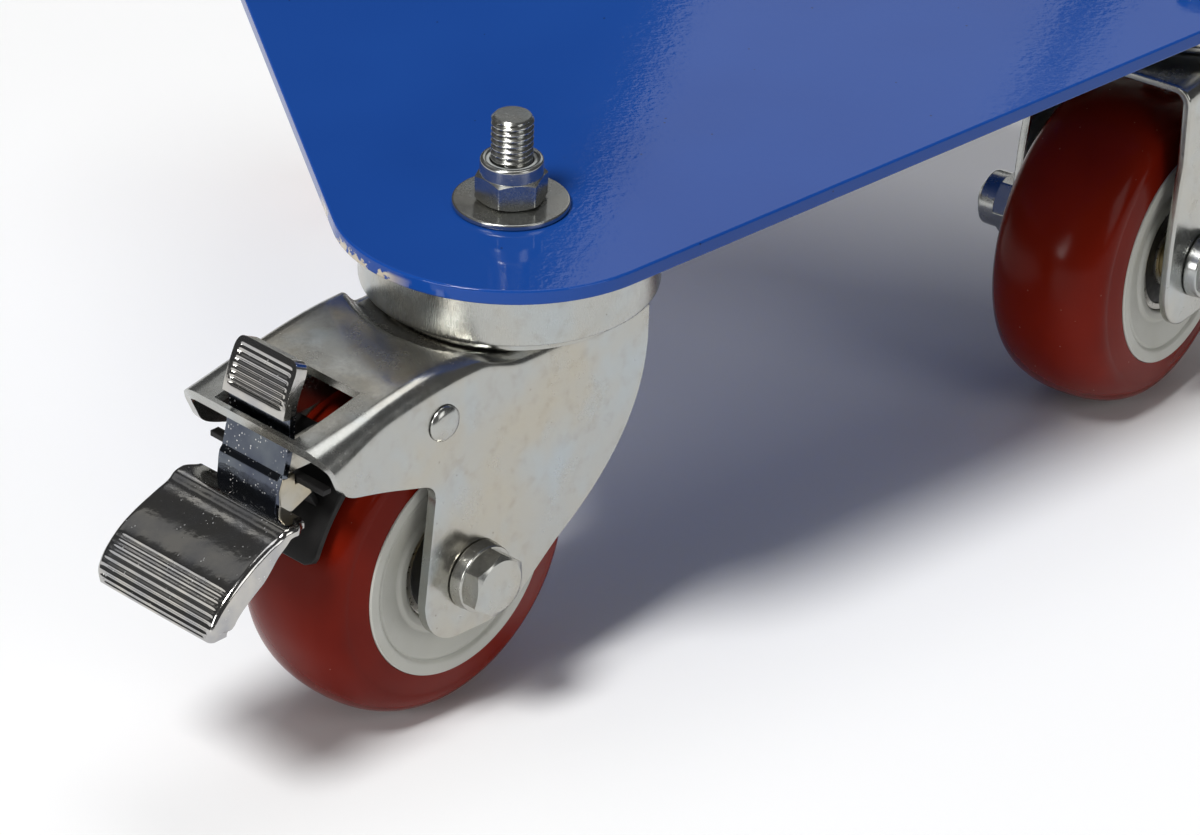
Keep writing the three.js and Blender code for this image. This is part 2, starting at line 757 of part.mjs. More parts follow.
function caster({ name, corner, trail, brake }) {
  const group = new THREE.Group();
  const add = (part, geometry, material) => group.add(named(`${name}_${part}`, geometry, material));
  add('king_bolt', kingBolt(), ZINC);
  add('deck_washer', deckWasher(), ZINC);
  add('stem_nut', lockNut().rotateZ(rad(NUT_TURN)), ZINC);
  add('raceway_cup', racewayCup(), ZINC);
  add('upper_ball_cage', ballCage(30.7, UPPER_BALL_Z, UPPER_BALL, 6), BEARING_STEEL);
  add('fork_race', forkRace(), ZINC);
  add('lower_ball_cage', ballCage(10.6, LOWER_BALL_Z, LOWER_BALL, 4), BEARING_STEEL);
  add('fork', brake ? brakeFork() : plainFork(), ZINC);
  add('axle_bolt', axleBolt(), ZINC);
  add('axle_nut', axleNut(), ZINC);
  add('axle_sleeve', axleSleeve(), ZINC);
  add('bearing_head_side', bearing(1), BEARING_STEEL);
  add('bearing_nut_side', bearing(-1), BEARING_STEEL);
  add('hub', hub(), HUB_GREY);
  add('tyre', tyre(), TYRE_MAROON);
  if (brake) {
    add('swivel_lock_ring', swivelLockRing(), ZINC);
    add('brake_pin', brakePin(), ZINC);
    add('brake_pedal', brakePedal(), CHROME);
    add('brake_shoe', brakeShoe(), BLACK_STEEL);
    add('lock_bar', lockBar(), BLACK_STEEL);
    add('brake_spring', brakeSpring(), BLACK_STEEL);
  } else {
    add('swivel_cone', swivelCone(), ZINC);
  }
  const [x, y] = cornerPoint({ corner });
  group.position.set(x, y, 0);
  group.rotation.z = rad(trail);
  return group;
}

const dolly = new THREE.Group();
dolly.name = 'tri_dolly';
dolly.add(named('deck_plate', deckPlate(), BLUE_PAINT));
for (const entry of CASTERS) dolly.add(caster(entry));

export default dolly;
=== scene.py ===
"""A triangular three-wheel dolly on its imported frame: fine pieces, materials, studio and camera."""

import json
import math

import bmesh
import bpy
from mathutils import Matrix, Vector

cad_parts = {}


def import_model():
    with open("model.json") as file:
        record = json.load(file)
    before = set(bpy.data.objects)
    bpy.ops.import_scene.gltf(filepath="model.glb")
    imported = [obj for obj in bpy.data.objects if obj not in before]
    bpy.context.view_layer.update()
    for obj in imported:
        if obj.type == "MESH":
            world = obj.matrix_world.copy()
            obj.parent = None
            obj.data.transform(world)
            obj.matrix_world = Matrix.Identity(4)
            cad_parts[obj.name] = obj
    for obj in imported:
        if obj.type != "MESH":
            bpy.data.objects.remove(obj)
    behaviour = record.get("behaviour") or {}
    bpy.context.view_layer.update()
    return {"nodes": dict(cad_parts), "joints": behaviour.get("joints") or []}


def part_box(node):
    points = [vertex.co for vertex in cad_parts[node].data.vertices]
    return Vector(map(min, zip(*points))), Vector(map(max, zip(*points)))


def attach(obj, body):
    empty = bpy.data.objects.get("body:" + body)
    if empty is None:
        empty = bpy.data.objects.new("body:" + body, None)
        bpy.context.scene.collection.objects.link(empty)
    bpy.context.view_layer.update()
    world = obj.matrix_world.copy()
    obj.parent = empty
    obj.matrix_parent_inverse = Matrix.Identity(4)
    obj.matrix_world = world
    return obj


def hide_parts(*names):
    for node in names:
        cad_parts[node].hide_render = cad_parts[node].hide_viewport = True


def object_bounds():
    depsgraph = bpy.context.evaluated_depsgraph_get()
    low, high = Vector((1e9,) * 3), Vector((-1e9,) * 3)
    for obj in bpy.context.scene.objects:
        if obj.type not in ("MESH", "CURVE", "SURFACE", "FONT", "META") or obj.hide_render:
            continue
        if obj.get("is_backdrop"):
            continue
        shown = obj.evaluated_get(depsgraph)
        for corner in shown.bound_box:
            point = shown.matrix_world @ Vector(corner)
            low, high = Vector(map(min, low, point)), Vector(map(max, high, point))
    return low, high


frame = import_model()

# ---- dimensions in millimetres, in a caster's own frame -------------------------------------------
# The stem axis is x = y = 0 and the deck's top is z = 0.
# The caster trails along +X, and its axle's head is towards +Y.

MM = 0.001

DECK_THICKNESS, DECK_CORNER, DECK_EDGE = 4.5, 49.9, 0.7
STEM_RADIUS, STEM_TOP, STEM_HOLE = 6, 27.7, 6.5

TRAIL, AXLE_Z = 39.2, -90.2
WHEEL_RADIUS, TYRE_HALF, TREAD_CROWN = 50, 19.4, 10.4
HUB_RADIUS, HUB_HALF = 33.5, 21.4

FORK_HALF, NOSE_FLARE, SHEET, BEND = 28, 2.2, 3, 6
HEAD_Z, NOSE_Z, ROOF_FALL, HEAD_RADIUS = -26.5, -22, 11, 39
WINDOW_HALF = 15.7
NOSE_END = 100

CUP_RADIUS, CUP_TOP, CUP_RIM, CUP_WALL = 42.1, -4.75, -21.8, 2.5

PIVOT_X, PIVOT_Z, PIVOT_EYE = 52.3, -37.2, 4.4
LEVER_HALF, LEVER_SHEET, PEDAL_HALF = 12, 2.2, 23.4
PEDAL_RIB, TAB_RIB = 1.9, 1.52
SHOE_GAP, SHOE_SHEET, SHOE_HALF, LEAF_HALF = 0.6, 2.2, 15.5, 22.4

HEX_STEM, HEX_AXLE = 18, 17
NUT_TURN, HEAD_TURN = 25.5, -36

CAMERA_TURN, CAMERA_TILT, CAMERA_ROLL = 16.45, 29.89, 1.69


# ---- camera ---------------------------------------------------------------------------------------

def make_camera():
    """From the front left, 30 degrees down, with a long lens."""
    tilt, roll = math.radians(CAMERA_TILT), math.radians(CAMERA_ROLL)
    _, away, _ = ground()
    forward = away * math.cos(tilt) + Vector((0, 0, -math.sin(tilt)))
    camera = bpy.data.objects.new("camera", bpy.data.cameras.new("camera"))
    camera.data.lens = 201.24
    camera.data.sensor_width = 36
    camera.data.clip_end = 50
    bpy.context.collection.objects.link(camera)
    spot = Matrix.Translation((0.4866, -1.7167, 0.8697))
    level = forward.to_track_quat("-Z", "Y").to_matrix().to_4x4()
    camera.matrix_world = spot @ level @ Matrix.Rotation(roll, 4, "Z")
    bpy.context.scene.camera = camera


# ---- node graphs ----------------------------------------------------------------------------------

class Graph:
    """A material's node tree, with short calls for its nodes. Coordinates are metres on the piece."""

    def __init__(self, name):
        self.material = bpy.data.materials.new(name)
        self.material.use_nodes = True
        self.tree = self.material.node_tree
        self.shader = self.tree.nodes["Principled BSDF"]
        self.place = self.add("ShaderNodeTexCoord").outputs["Object"]

    def add(self, kind, inputs=(), **settings):
        node = self.tree.nodes.new(kind)
        for key, value in settings.items():
            setattr(node, key, value)
        for key, value in dict(inputs).items():
            self.feed(node.inputs[key], value)
        return node

    def feed(self, socket, value):
        if isinstance(value, bpy.types.NodeSocket):
            self.tree.links.new(value, socket)
        else:
            socket.default_value = value

    def set(self, **inputs):
        """Shader inputs by name, with underscores for spaces."""
        for key, value in inputs.items():
            self.feed(self.shader.inputs[key.replace("_", " ")], value)

    def noise(self, size, detail=3.0, stretch=(1, 1, 1), roughness=0.5):
        """Noise from 0 to 1 whose features are about size millimetres wide."""
        place = self.add("ShaderNodeMapping", {"Vector": self.place, "Scale": stretch}).outputs["Vector"]
        inputs = {"Vector": place, "Scale": 1 / (size * MM), "Detail": detail, "Roughness": roughness}
        return self.add("ShaderNodeTexNoise", inputs).outputs["Fac"]

    def specks(self, size, share, reach=0.26):
        """1 in small scattered dots, 0 elsewhere: one share of the cells, each dot a reach of its cell."""
        inputs = {"Vector": self.place, "Scale": 1 / (size * MM), "Randomness": 1.0}
        cells = self.add("ShaderNodeTexVoronoi", inputs)
        tint = self.add("ShaderNodeSeparateColor", {"Color": cells.outputs["Color"]}).outputs["Red"]
        chosen = self.math("LESS_THAN", tint, share)
        near = self.math("LESS_THAN", cells.outputs["Distance"], reach)
        return self.math("MULTIPLY", chosen, near)

    def math(self, operation, a, b=0.0):
        return self.add("ShaderNodeMath", {0: a, 1: b}, operation=operation).outputs[0]

    def spread(self, value, low, high, to_low=0.0, to_high=1.0):
        """Maps low..high to to_low..to_high, held at the ends."""
        inputs = {"Value": value, "From Min": low, "From Max": high, "To Min": to_low, "To Max": to_high}
        return self.add("ShaderNodeMapRange", inputs).outputs["Result"]

    def mix(self, share, a, b):
        node = self.add("ShaderNodeMix", data_type="RGBA")
        self.feed(node.inputs[0], share)
        self.feed(node.inputs[6], a)
        self.feed(node.inputs[7], b)
        return node.outputs[2]

    def bump(self, height, depth):
        """Relief of depth millimetres."""
        inputs = {"Height": height, "Distance": depth * MM, "Strength": 1.0}
        return self.add("ShaderNodeBump", inputs).outputs["Normal"]

    def axis(self, name):
        return self.add("ShaderNodeSeparateXYZ", {"Vector": self.place}).outputs[name]

    def distance_from(self, point):
        """Distance in metres from a point in millimetres, in the piece's frame."""
        inputs = {0: self.place, 1: Vector(point) * MM}
        return self.add("ShaderNodeVectorMath", inputs, operation="DISTANCE").outputs["Value"]


def colour(red, green, blue):
    """A linear colour with alpha."""
    return (red, green, blue, 1.0)


# ---- materials ------------------------------------------------------------------------------------

def paint_blue():
    g = Graph("blue_powder_coat")
    drift = g.noise(90, 2)
    dark, light = colour(0.007, 0.052, 0.265), colour(0.009, 0.060, 0.290)
    base = g.mix(g.spread(drift, 0.35, 0.65), dark, light)
    dust = g.specks(5, 0.16, 0.07)
    base = g.mix(g.math("MULTIPLY", dust, 0.7), base, colour(0.006, 0.010, 0.03))
    chips = g.math("MULTIPLY", worn_corner(g), g.spread(g.noise(9, 5, roughness=0.62), 0.46, 0.475))
    bare = g.mix(g.noise(3, 4), colour(0.36, 0.29, 0.20), colour(0.58, 0.54, 0.46))
    base = g.mix(chips, base, bare)
    coarse, fine = g.noise(3.2, 2), g.noise(1.1, 2)
    relief = g.math("ADD", g.math("MULTIPLY", coarse, 0.7), g.math("MULTIPLY", fine, 0.3))
    relief = g.math("SUBTRACT", relief, g.math("MULTIPLY", chips, 1.6))
    g.set(Base_Color=base, Roughness=g.spread(g.noise(30, 3), 0.3, 0.7, 0.035, 0.07))
    g.set(Specular_IOR_Level=0.24, Normal=g.bump(relief, 0.03))
    return g.material


def worn_corner(g):
    """1 on the deck's edge face left of the braked corner, where the paint is rubbed off."""
    near = stem_spot("front") / MM + Vector((-38, -33, -3))
    around = g.spread(g.distance_from(near), 0.012, 0.030, 1.0, 0.0)
    low = g.spread(g.axis("Z"), -0.0012, -0.0022, 0.0, 1.0)
    return g.math("MULTIPLY", g.spread(around, 0.0, 0.5), low)


def zinc(name, brushed, streaks, roughness, warmth):
    """Bright zinc plate: satin, with faint yellow and blue drifts and fine rolling or turning marks."""
    g = Graph(name)
    warm = g.spread(g.noise(28, 3), 0.42, 0.72)
    cool = g.spread(g.noise(19, 2, (1, 1.4, 1)), 0.5, 0.72)
    base = g.mix(g.math("MULTIPLY", warm, warmth), colour(0.425, 0.43, 0.41), colour(0.47, 0.42, 0.32))
    base = g.mix(g.math("MULTIPLY", cool, 0.5), base, colour(0.41, 0.47, 0.51))
    grime = g.spread(g.noise(4.5, 4, roughness=0.6), 0.52, 0.82)
    base = g.mix(g.math("MULTIPLY", grime, 0.35), base, colour(0.24, 0.20, 0.15))
    dots = g.specks(3.2, 0.10, 0.09)
    base = g.mix(g.math("MULTIPLY", dots, 0.6), base, colour(0.16, 0.14, 0.12))
    marks = g.noise(1.1, 4, brushed, 0.65)
    cloud = g.spread(g.noise(11, 4), 0.3, 0.7, roughness - 0.05, roughness + 0.07)
    rough = g.math("ADD", g.spread(marks, 0.3, 0.7, 0.0, 0.08), cloud)
    g.set(Base_Color=base, Metallic=0.95, Roughness=rough)
    grain = g.math("ADD", g.math("MULTIPLY", marks, streaks), g.math("MULTIPLY", g.noise(0.7, 3), 0.1))
    g.set(Normal=g.bump(grain, 0.035))
    return g.material


def chrome(name, shade_darkened):
    """Mirror chrome with bright pits. With the flag set it is the bluish, densely pitted chrome of the
    lever's neck, its colour darkened as painted shade for the neck's dark reflections.
    """
    g = Graph(name)
    pits = g.specks(0.8, 0.25, 0.3)
    pits = g.math("MULTIPLY", pits, g.spread(g.noise(4, 4), 0.42 if shade_darkened else 0.54, 0.62))
    light, dark = (0.54, 0.52, 0.48), (0.38, 0.38, 0.39)
    # Darker bluish base for the neck: painted shade, standing in for the dark reflections on it.
    if shade_darkened:
        light, dark = (0.125, 0.14, 0.16), (0.075, 0.085, 0.115)
    base = g.mix(g.spread(g.noise(9, 3), 0.35, 0.7), colour(*light), colour(*dark))
    base = g.mix(pits, base, colour(0.70, 0.70, 0.69))
    rough = g.math("ADD", g.spread(g.noise(9, 4), 0.35, 0.7, 0.08, 0.18), g.math("MULTIPLY", pits, 0.25))
    relief = g.math("ADD", g.noise(5, 3), g.math("MULTIPLY", pits, 0.25))
    g.set(Base_Color=base, Metallic=1.0, Roughness=rough, Normal=g.bump(relief, 0.09))
    return g.material


def black_steel():
    g = Graph("black_oxide")
    base = g.mix(g.noise(5, 4), colour(0.004, 0.004, 0.004), colour(0.010, 0.009, 0.009))
    g.set(Base_Color=base, Roughness=g.spread(g.noise(3, 4), 0.3, 0.7, 0.38, 0.55))
    g.set(Specular_IOR_Level=0.25, Normal=g.bump(g.noise(0.8, 3), 0.03))
    return g.material


def hub_plastic():
    g = Graph("hub_grey_plastic")
    base = g.mix(g.spread(g.noise(24, 3), 0.35, 0.7), colour(0.46, 0.46, 0.41), colour(0.52, 0.52, 0.48))
    stain = g.spread(g.noise(8, 5, roughness=0.7), 0.62, 0.78)
    base = g.mix(g.math("MULTIPLY", stain, 0.35), base, colour(0.30, 0.27, 0.20))
    g.set(Base_Color=base, Roughness=g.spread(g.noise(5, 3), 0.3, 0.7, 0.36, 0.5))
    g.set(Normal=g.bump(g.noise(1.2, 3), 0.02))
    return g.material


def urethane():
    g = Graph("maroon_polyurethane")
    dark, light = colour(0.125, 0.0062, 0.0018), colour(0.170, 0.0100, 0.0030)
    base = g.mix(g.spread(g.noise(35, 3), 0.35, 0.68), dark, light)
    dust = g.specks(2.2, 0.05, 0.12)
    base = g.mix(g.math("MULTIPLY", dust, 0.35), base, colour(0.32, 0.17, 0.13))
    rough = g.math("ADD", g.spread(g.noise(15, 4), 0.35, 0.7, 0.15, 0.24), g.math("MULTIPLY", dust, 0.2))
    relief = g.math("ADD", g.noise(9, 2), g.math("MULTIPLY", g.noise(1.6, 2), 0.06))
    g.set(Base_Color=base, Roughness=rough, Specular_IOR_Level=0.09, Normal=g.bump(relief, 0.06))
    return g.material


def bearing_steel():
    g = Graph("bearing_steel")
    base = g.mix(g.noise(4, 3), colour(0.42, 0.41, 0.38), colour(0.52, 0.50, 0.46))
    g.set(Base_Color=base, Metallic=0.95, Roughness=g.spread(g.noise(2, 3), 0.3, 0.7, 0.22, 0.4))
    g.set(Normal=g.bump(g.noise(0.9, 3), 0.02))
    return g.material


def brass_zinc():
    """Yellow-passivated steel of the axle sleeve."""
    g = Graph("yellow_zinc")
    base = g.mix(g.noise(6, 3), colour(0.50, 0.36, 0.14), colour(0.58, 0.50, 0.30))
    g.set(Base_Color=base, Metallic=0.9, Roughness=g.spread(g.noise(3, 3), 0.3, 0.7, 0.26, 0.4))
    g.set(Normal=g.bump(g.noise(1, 3), 0.02))
    return g.material


def seal_rubber():
    g = Graph("bearing_seal")
    base = g.mix(g.noise(3, 3), colour(0.018, 0.018, 0.018), colour(0.035, 0.034, 0.032))
    g.set(Base_Color=base, Roughness=g.spread(g.noise(2, 3), 0.3, 0.7, 0.42, 0.6))
    g.set(Normal=g.bump(g.noise(0.7, 2), 0.02))
    return g.material


def nylon():
    g = Graph("nut_insert_nylon")
    base = g.mix(g.noise(2, 3), colour(0.34, 0.36, 0.36), colour(0.44, 0.45, 0.43))
    g.set(Base_Color=base, Roughness=g.spread(g.noise(1.5, 2), 0.3, 0.7, 0.3, 0.45))
    g.set(Normal=g.bump(g.noise(0.6, 2), 0.02))
    return g.material


# ---- shapes: lists of vertices and faces, in millimetres ------------------------------------------

def fillet(points, reach, steps=4):
    """A closed line of 2-D points with each corner rounded, starting reach before and after it."""
    made = []
    for i, corner in enumerate(points):
        before, after = points[i - 1], points[(i + 1) % len(points)]
        ends = []
        for other in (before, after):
            gap = math.dist(corner, other)
            share = min(reach, 0.45 * gap) / gap if gap else 0
            ends.append(between(corner, other, share))
        made += [ends[0], *quadratic(ends[0], corner, ends[1], steps)]
    return made


def between(a, b, share):
    """The 2-D point at a share of the way from a to b."""
    return tuple(a[n] + (b[n] - a[n]) * share for n in (0, 1))


def arc(centre, radius, start, end, steps):
    """Points of an arc round a centre, between two angles in radians."""
    angles = [start + (end - start) * k / steps for k in range(steps + 1)]
    return [(centre[0] + radius * math.cos(angle), centre[1] + radius * math.sin(angle)) for angle in angles]


def quadratic(a, b, c, steps):
    """A parabolic curve from a to c with its corner at b, without its first point."""
    return [tuple((1 - t) ** 2 * a[n] + 2 * t * (1 - t) * b[n] + t * t * c[n] for n in (0, 1))
            for t in (k / steps for k in range(1, steps + 1))]


def cubic(a, b, c, d, steps):
    """A cubic curve from a to d with the handles b and c, without its first point."""
    made = []
    for k in range(1, steps + 1):
        t = k / steps
        shares = ((1 - t) ** 3, 3 * t * (1 - t) ** 2, 3 * t * t * (1 - t), t ** 3)
        made.append(tuple(sum(s * p[n] for s, p in zip(shares, (a, b, c, d))) for n in (0, 1)))
    return made


def rings(loops):
    """Skin over rings of equally many vertices; the last ring joins the first."""
    count = len(loops[0])
    verts = [vertex for loop in loops for vertex in loop]
    faces = []
    for k in range(len(loops)):
        a, b = k * count, (k + 1) % len(loops) * count
        faces += [(a + i, b + i, b + (i + 1) % count, a + (i + 1) % count) for i in range(count)]
    return verts, faces


def lathe(profile, segments=96):
    """A closed profile of (radius, height) points turned about Z."""
    loops = []
    for k in range(segments):
        angle = 2 * math.pi * k / segments
        loops.append([(r * math.cos(angle), r * math.sin(angle), z) for r, z in profile])
    return rings(loops)


def on_axle(shape):
    """Turns a shape about Z so that it lies on the wheel's axle, its top towards the axle head."""
    verts, faces = shape
    return [(TRAIL + x, z, AXLE_Z - y) for x, y, z in verts], faces


def turned(shape, degrees):
    """A shape turned about Z."""
    c, s = math.cos(math.radians(degrees)), math.sin(math.radians(degrees))
    return [(c * x - s * y, s * x + c * y, z) for x, y, z in shape[0]], shape[1]


def together(*shapes):
    """Several shapes as one."""
    verts, faces = [], []
    for part_verts, part_faces in shapes:
        faces += [tuple(i + len(verts) for i in face) for face in part_faces]
        verts += part_verts
    return verts, faces


def hexagon(across, low, high, bore, chamfer_low=True, chamfer_high=True):
    """A hexagon nut or head with its corners turned to 30 degrees and a bore (0 for a solid head)."""
    corner = across / math.sqrt(3)
    angles = [math.radians(60 * k) for k in range(6)]
    edge = fillet([(corner * math.cos(angle), corner * math.sin(angle)) for angle in angles], 0.5, 3)
    outline = []
    for point, following in zip(edge, edge[1:] + edge[:1]):
        steps = 8 if math.dist(point, following) > 2 else 1
        outline += [between(point, following, k / steps) for k in range(steps)]
    crown = across / 2 * 0.93

    def ring(radius, height, rim=None):
        loop = []
        for x, y in outline:
            reach = math.hypot(x, y)
            scale = 1 if radius is None else radius / reach
            drop = 0 if rim is None else rim * max(0, reach - crown) * math.tan(math.radians(30))
            loop.append((x * scale, y * scale, height - drop))
        return loop

    loops = [ring(max(bore, 0.01), high), ring(crown if chamfer_high else None, high)]
    loops += [ring(None, high, 1 if chamfer_high else 0), ring(None, low, -1 if chamfer_low else 0)]
    loops += [ring(crown if chamfer_low else None, low), ring(max(bore, 0.01), low)]
    return rings(loops)


def thread(low, high, crest, root, pitch, end_chamfer):
    """A threaded rod end: a helical ridge up to a flat chamfered end, closed at both ends."""
    around, per_turn = 72, 10
    rows = int((high - low) / pitch * per_turn)
    loops = [[(0.0, 0.0, low)] * around]
    for row in range(rows + 1):
        z = low + (high - low) * row / rows
        loop = []
        for k in range(around):
            phase = (z / pitch - k / around) % 1
            ridge = min(1, max(0, 1.25 - 2.5 * abs(phase - 0.5)))
            limit = crest - max(0, z - (high - end_chamfer))
            radius = min(root + (crest - root) * ridge, limit)
            angle = 2 * math.pi * k / around
            loop.append((radius * math.cos(angle), radius * math.sin(angle), z))
        loops.append(loop)
    loops.append([(0.0, 0.0, high)] * around)
    verts, faces = rings(loops)
    unjoined = faces[:-around]
    return verts, unjoined


def extruded(profile, y0, y1):
    """A solid of an x, z outline between two sides."""
    count = len(profile)
    verts = [(x, y0, z) for x, z in profile] + [(x, y1, z) for x, z in profile]
    faces = [tuple(range(count)), tuple(range(2 * count - 1, count - 1, -1))]
    faces += [(i, i + count, (i + 1) % count + count, (i + 1) % count) for i in range(count)]
    return verts, faces


def spline(points, steps):
    """A smooth line through 2-D points, with steps pieces between two neighbours."""
    padded = [points[0], *points, points[-1]]
    made = []
    for i in range(len(points) - 1):
        a, b, c, d = padded[i:i + 4]
        for k in range(steps):
            t = k / steps
            made.append(tuple(
                0.5 * (2 * b[n] + (c[n] - a[n]) * t
                       + (2 * a[n] - 5 * b[n] + 4 * c[n] - d[n]) * t * t
                       + (3 * b[n] - a[n] - 3 * c[n] + d[n]) * t ** 3) for n in (0, 1)
            ))
    return [*made, points[-1]]


def normals(line):
    """Unit normals of a 2-D line, to the left of its direction."""
    made = []
    for i in range(len(line)):
        a, b = line[max(i - 1, 0)], line[min(i + 1, len(line) - 1)]
        length = math.dist(a, b)
        made.append(((a[1] - b[1]) / length, (b[0] - a[0]) / length))
    return made


def plate(line, thickness, y0, y1):
    """A sheet of one thickness that follows an x, z line, between two sides."""
    sides = normals(line)
    half = thickness / 2
    upper = [(p[0] + n[0] * half, p[1] + n[1] * half) for p, n in zip(line, sides)]
    lower = [(p[0] - n[0] * half, p[1] - n[1] * half) for p, n in zip(line, sides)]
    return extruded(upper + lower[::-1], y0, y1)


def grid_faces(rows, columns):
    """Faces of a grid whose vertices are listed row by row."""
    faces = []
    for row in range(rows):
        for k in range(columns):
            a = row * (columns + 1) + k
            faces.append((a, a + columns + 1, a + columns + 2, a + 1))
    return faces


def smoothstep(low, high, value):
    """0 at low, 1 at high, smooth between; low may be the greater."""
    t = min(1, max(0, (value - low) / (high - low)))
    return t * t * (3 - 2 * t)


# ---- making pieces --------------------------------------------------------------------------------

def frame_joint(name):
    """The frame's joint of that name."""
    return next(joint for joint in frame["joints"] if joint["name"] == name)


def stem_spot(name):
    """Where a caster's stem axis meets the deck's top."""
    return Vector(frame_joint(f"{name}_swivel_turn")["pos_m"])


class Caster:
    """Where a caster stands, and its node and body names."""

    def __init__(self, name, braked):
        self.name, self.braked = name, braked
        lateral = Vector(frame_joint(f"{name}_wheel_spin")["axis"])
        up = Vector((0, 0, 1))
        turn = Matrix((lateral.cross(up), lateral, up)).transposed().to_4x4()
        self.place = Matrix.Translation(stem_spot(name)) @ turn

    def make(self, part, shape, material, body, slot, **options):
        """A fine piece that stands for the CAD node of the same name."""
        node = f"{self.name}_{part}"
        parent = "deck" if body == "deck" else f"{self.name}_{body}"
        options.setdefault("replaces", (node,))
        return make_piece(f"{node}_fine", shape, material, parent, slot, place=self.place, **options)


def make_piece(name, shape, material, body, slot, place=Matrix(), replaces=(), sharp=38, sheet=0, bevel=0):
    """A mesh on a body. A sheet is a skin thickened inwards; edges are bevelled, or sharp past an angle."""
    mesh = bpy.data.meshes.new(name)
    bm = bmesh.new()
    verts = [bm.verts.new(Vector(vertex) * MM) for vertex in shape[0]]
    for face in shape[1]:
        corners = list(dict.fromkeys(face))
        if len(corners) > 2 and bm.faces.get([verts[i] for i in corners]) is None:
            bm.faces.new([verts[i] for i in corners])
    bmesh.ops.remove_doubles(bm, verts=bm.verts, dist=2e-6)
    bmesh.ops.dissolve_degenerate(bm, edges=bm.edges, dist=1e-6)
    if not sheet:
        bmesh.ops.recalc_face_normals(bm, faces=bm.faces)
    bm.transform(place)
    bm.to_mesh(mesh)
    bm.free()
    mesh.shade_smooth()
    mesh.materials.append(material)
    piece = bpy.data.objects.new(name, mesh)
    bpy.context.collection.objects.link(piece)
    if sheet:
        solid = piece.modifiers.new("sheet", "SOLIDIFY")
        solid.thickness, solid.offset = sheet * MM, -1
    if bevel:
        edge = piece.modifiers.new("edge", "BEVEL")
        edge.width, edge.segments, edge.angle_limit = bevel * MM, 3, math.radians(42)
        edge.use_clamp_overlap = True
    else:
        mesh.set_sharp_from_angle(angle=math.radians(sharp))
    piece.modifiers.new("normals", "WEIGHTED_NORMAL").keep_sharp = True
    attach(piece, body)
    if replaces:
        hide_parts(*replaces)
    return piece


# ---- deck -----------------------------------------------------------------------------------------

def rim_profile():
    """Inset and height of the plate's rounded rim, from the top face down to the bottom face."""
    angles = [math.radians(90 * k / 4) for k in range(5)]
    top = [(DECK_EDGE * (1 - math.sin(angle)), DECK_EDGE * (math.cos(angle) - 1)) for angle in angles]
    return top + [(inset, -DECK_THICKNESS - z) for inset, z in reversed(top)]


def deck_plate(material):
    """The plate, with rounded painted edges and open stem holes."""
    corners = [stem_spot(name) / MM for name in ("front", "right", "left")]
    bm = bmesh.new()

    def loop(points, z):
        return [bm.verts.new(Vector((x, y, z)) * MM) for x, y in points]

    def wall(upper, lower):
        for i in range(len(upper)):
            j = (i + 1) % len(upper)
            bm.faces.new((upper[i], lower[i], lower[j], upper[j]))

    rims = []
    for inset, z in rim_profile():
        outline = []
        for centre in corners:
            middle = math.atan2(centre.y, centre.x)
            start, end = middle - math.radians(60), middle + math.radians(60)
            outline += arc(centre, DECK_CORNER - inset, start, end, 40)
        rims.append(loop(outline, z))
    for upper, lower in zip(rims, rims[1:]):
        wall(upper, lower)
    top, bottom = [rims[0]], [rims[-1]]
    for centre in corners:
        circle = arc(centre, STEM_HOLE, 0, 2 * math.pi, 40)[:-1]
        top.append(loop(circle, 0))
        bottom.append(loop(circle, -DECK_THICKNESS))
        wall(top[-1][::-1], bottom[-1][::-1])
    for side in (top, bottom):
        edges = [bm.edges.get((a, b)) for ring in side for a, b in zip(ring, ring[1:] + ring[:1])]
        bmesh.ops.triangle_fill(bm, use_beauty=True, edges=edges)
    bm.verts.index_update()
    verts = [tuple(vertex.co / MM) for vertex in bm.verts]
    faces = [tuple(vertex.index for vertex in face.verts) for face in bm.faces]
    bm.free()
    options = {"replaces": ("deck_plate",), "sharp": 30}
    make_piece("deck_plate_fine", (verts, faces), material, "deck", "deck_paint", **options)


# ---- stem and swivel head -------------------------------------------------------------------------

def stem(caster, zinc_turned, insert):
    """King bolt with its threaded stem, washer and lock nut with a nylon ring."""
    crest = STEM_RADIUS - 0.05
    rod = thread(low=14.0, high=STEM_TOP, crest=crest, root=crest - 0.85, pitch=1.75, end_chamfer=0.9)
    shank = lathe([(0, 14.2), (5.2, 14.2), (5.2, -38), (0, -38)], 48)
    head = hexagon(HEX_STEM, -43, -36.8, 0)
    caster.make("king_bolt", together(rod, shank, head), zinc_turned, "deck", "zinc_plate")

    washer = fillet([(6.4, 0.15), (16.4, 0.15), (16.4, 1.9), (6.4, 1.9)], 0.55)
    caster.make("deck_washer", lathe(washer), zinc_turned, "deck", "zinc_plate")

    nut = turned(hexagon(HEX_STEM, 2.05, 10.4, 6.15), NUT_TURN)
    collar = lathe(fillet([(7.0, 9.4), (8.9, 9.4), (8.9, 14.6), (7.0, 14.6)], 1.0))
    caster.make("stem_nut", together(nut, collar), zinc_turned, "deck", "zinc_plate", sharp=28)
    ring = lathe(fillet([(6.15, 11), (7.05, 11), (7.05, 14.2), (6.15, 14.2)], 0.3), 64)
    make_insert(caster, "stem_nut_insert", ring, insert, "deck")


def make_insert(caster, part, shape, material, body):
    """A small piece that has no CAD node of its own."""
    caster.make(part, shape, material, body, "zinc_plate", replaces=())


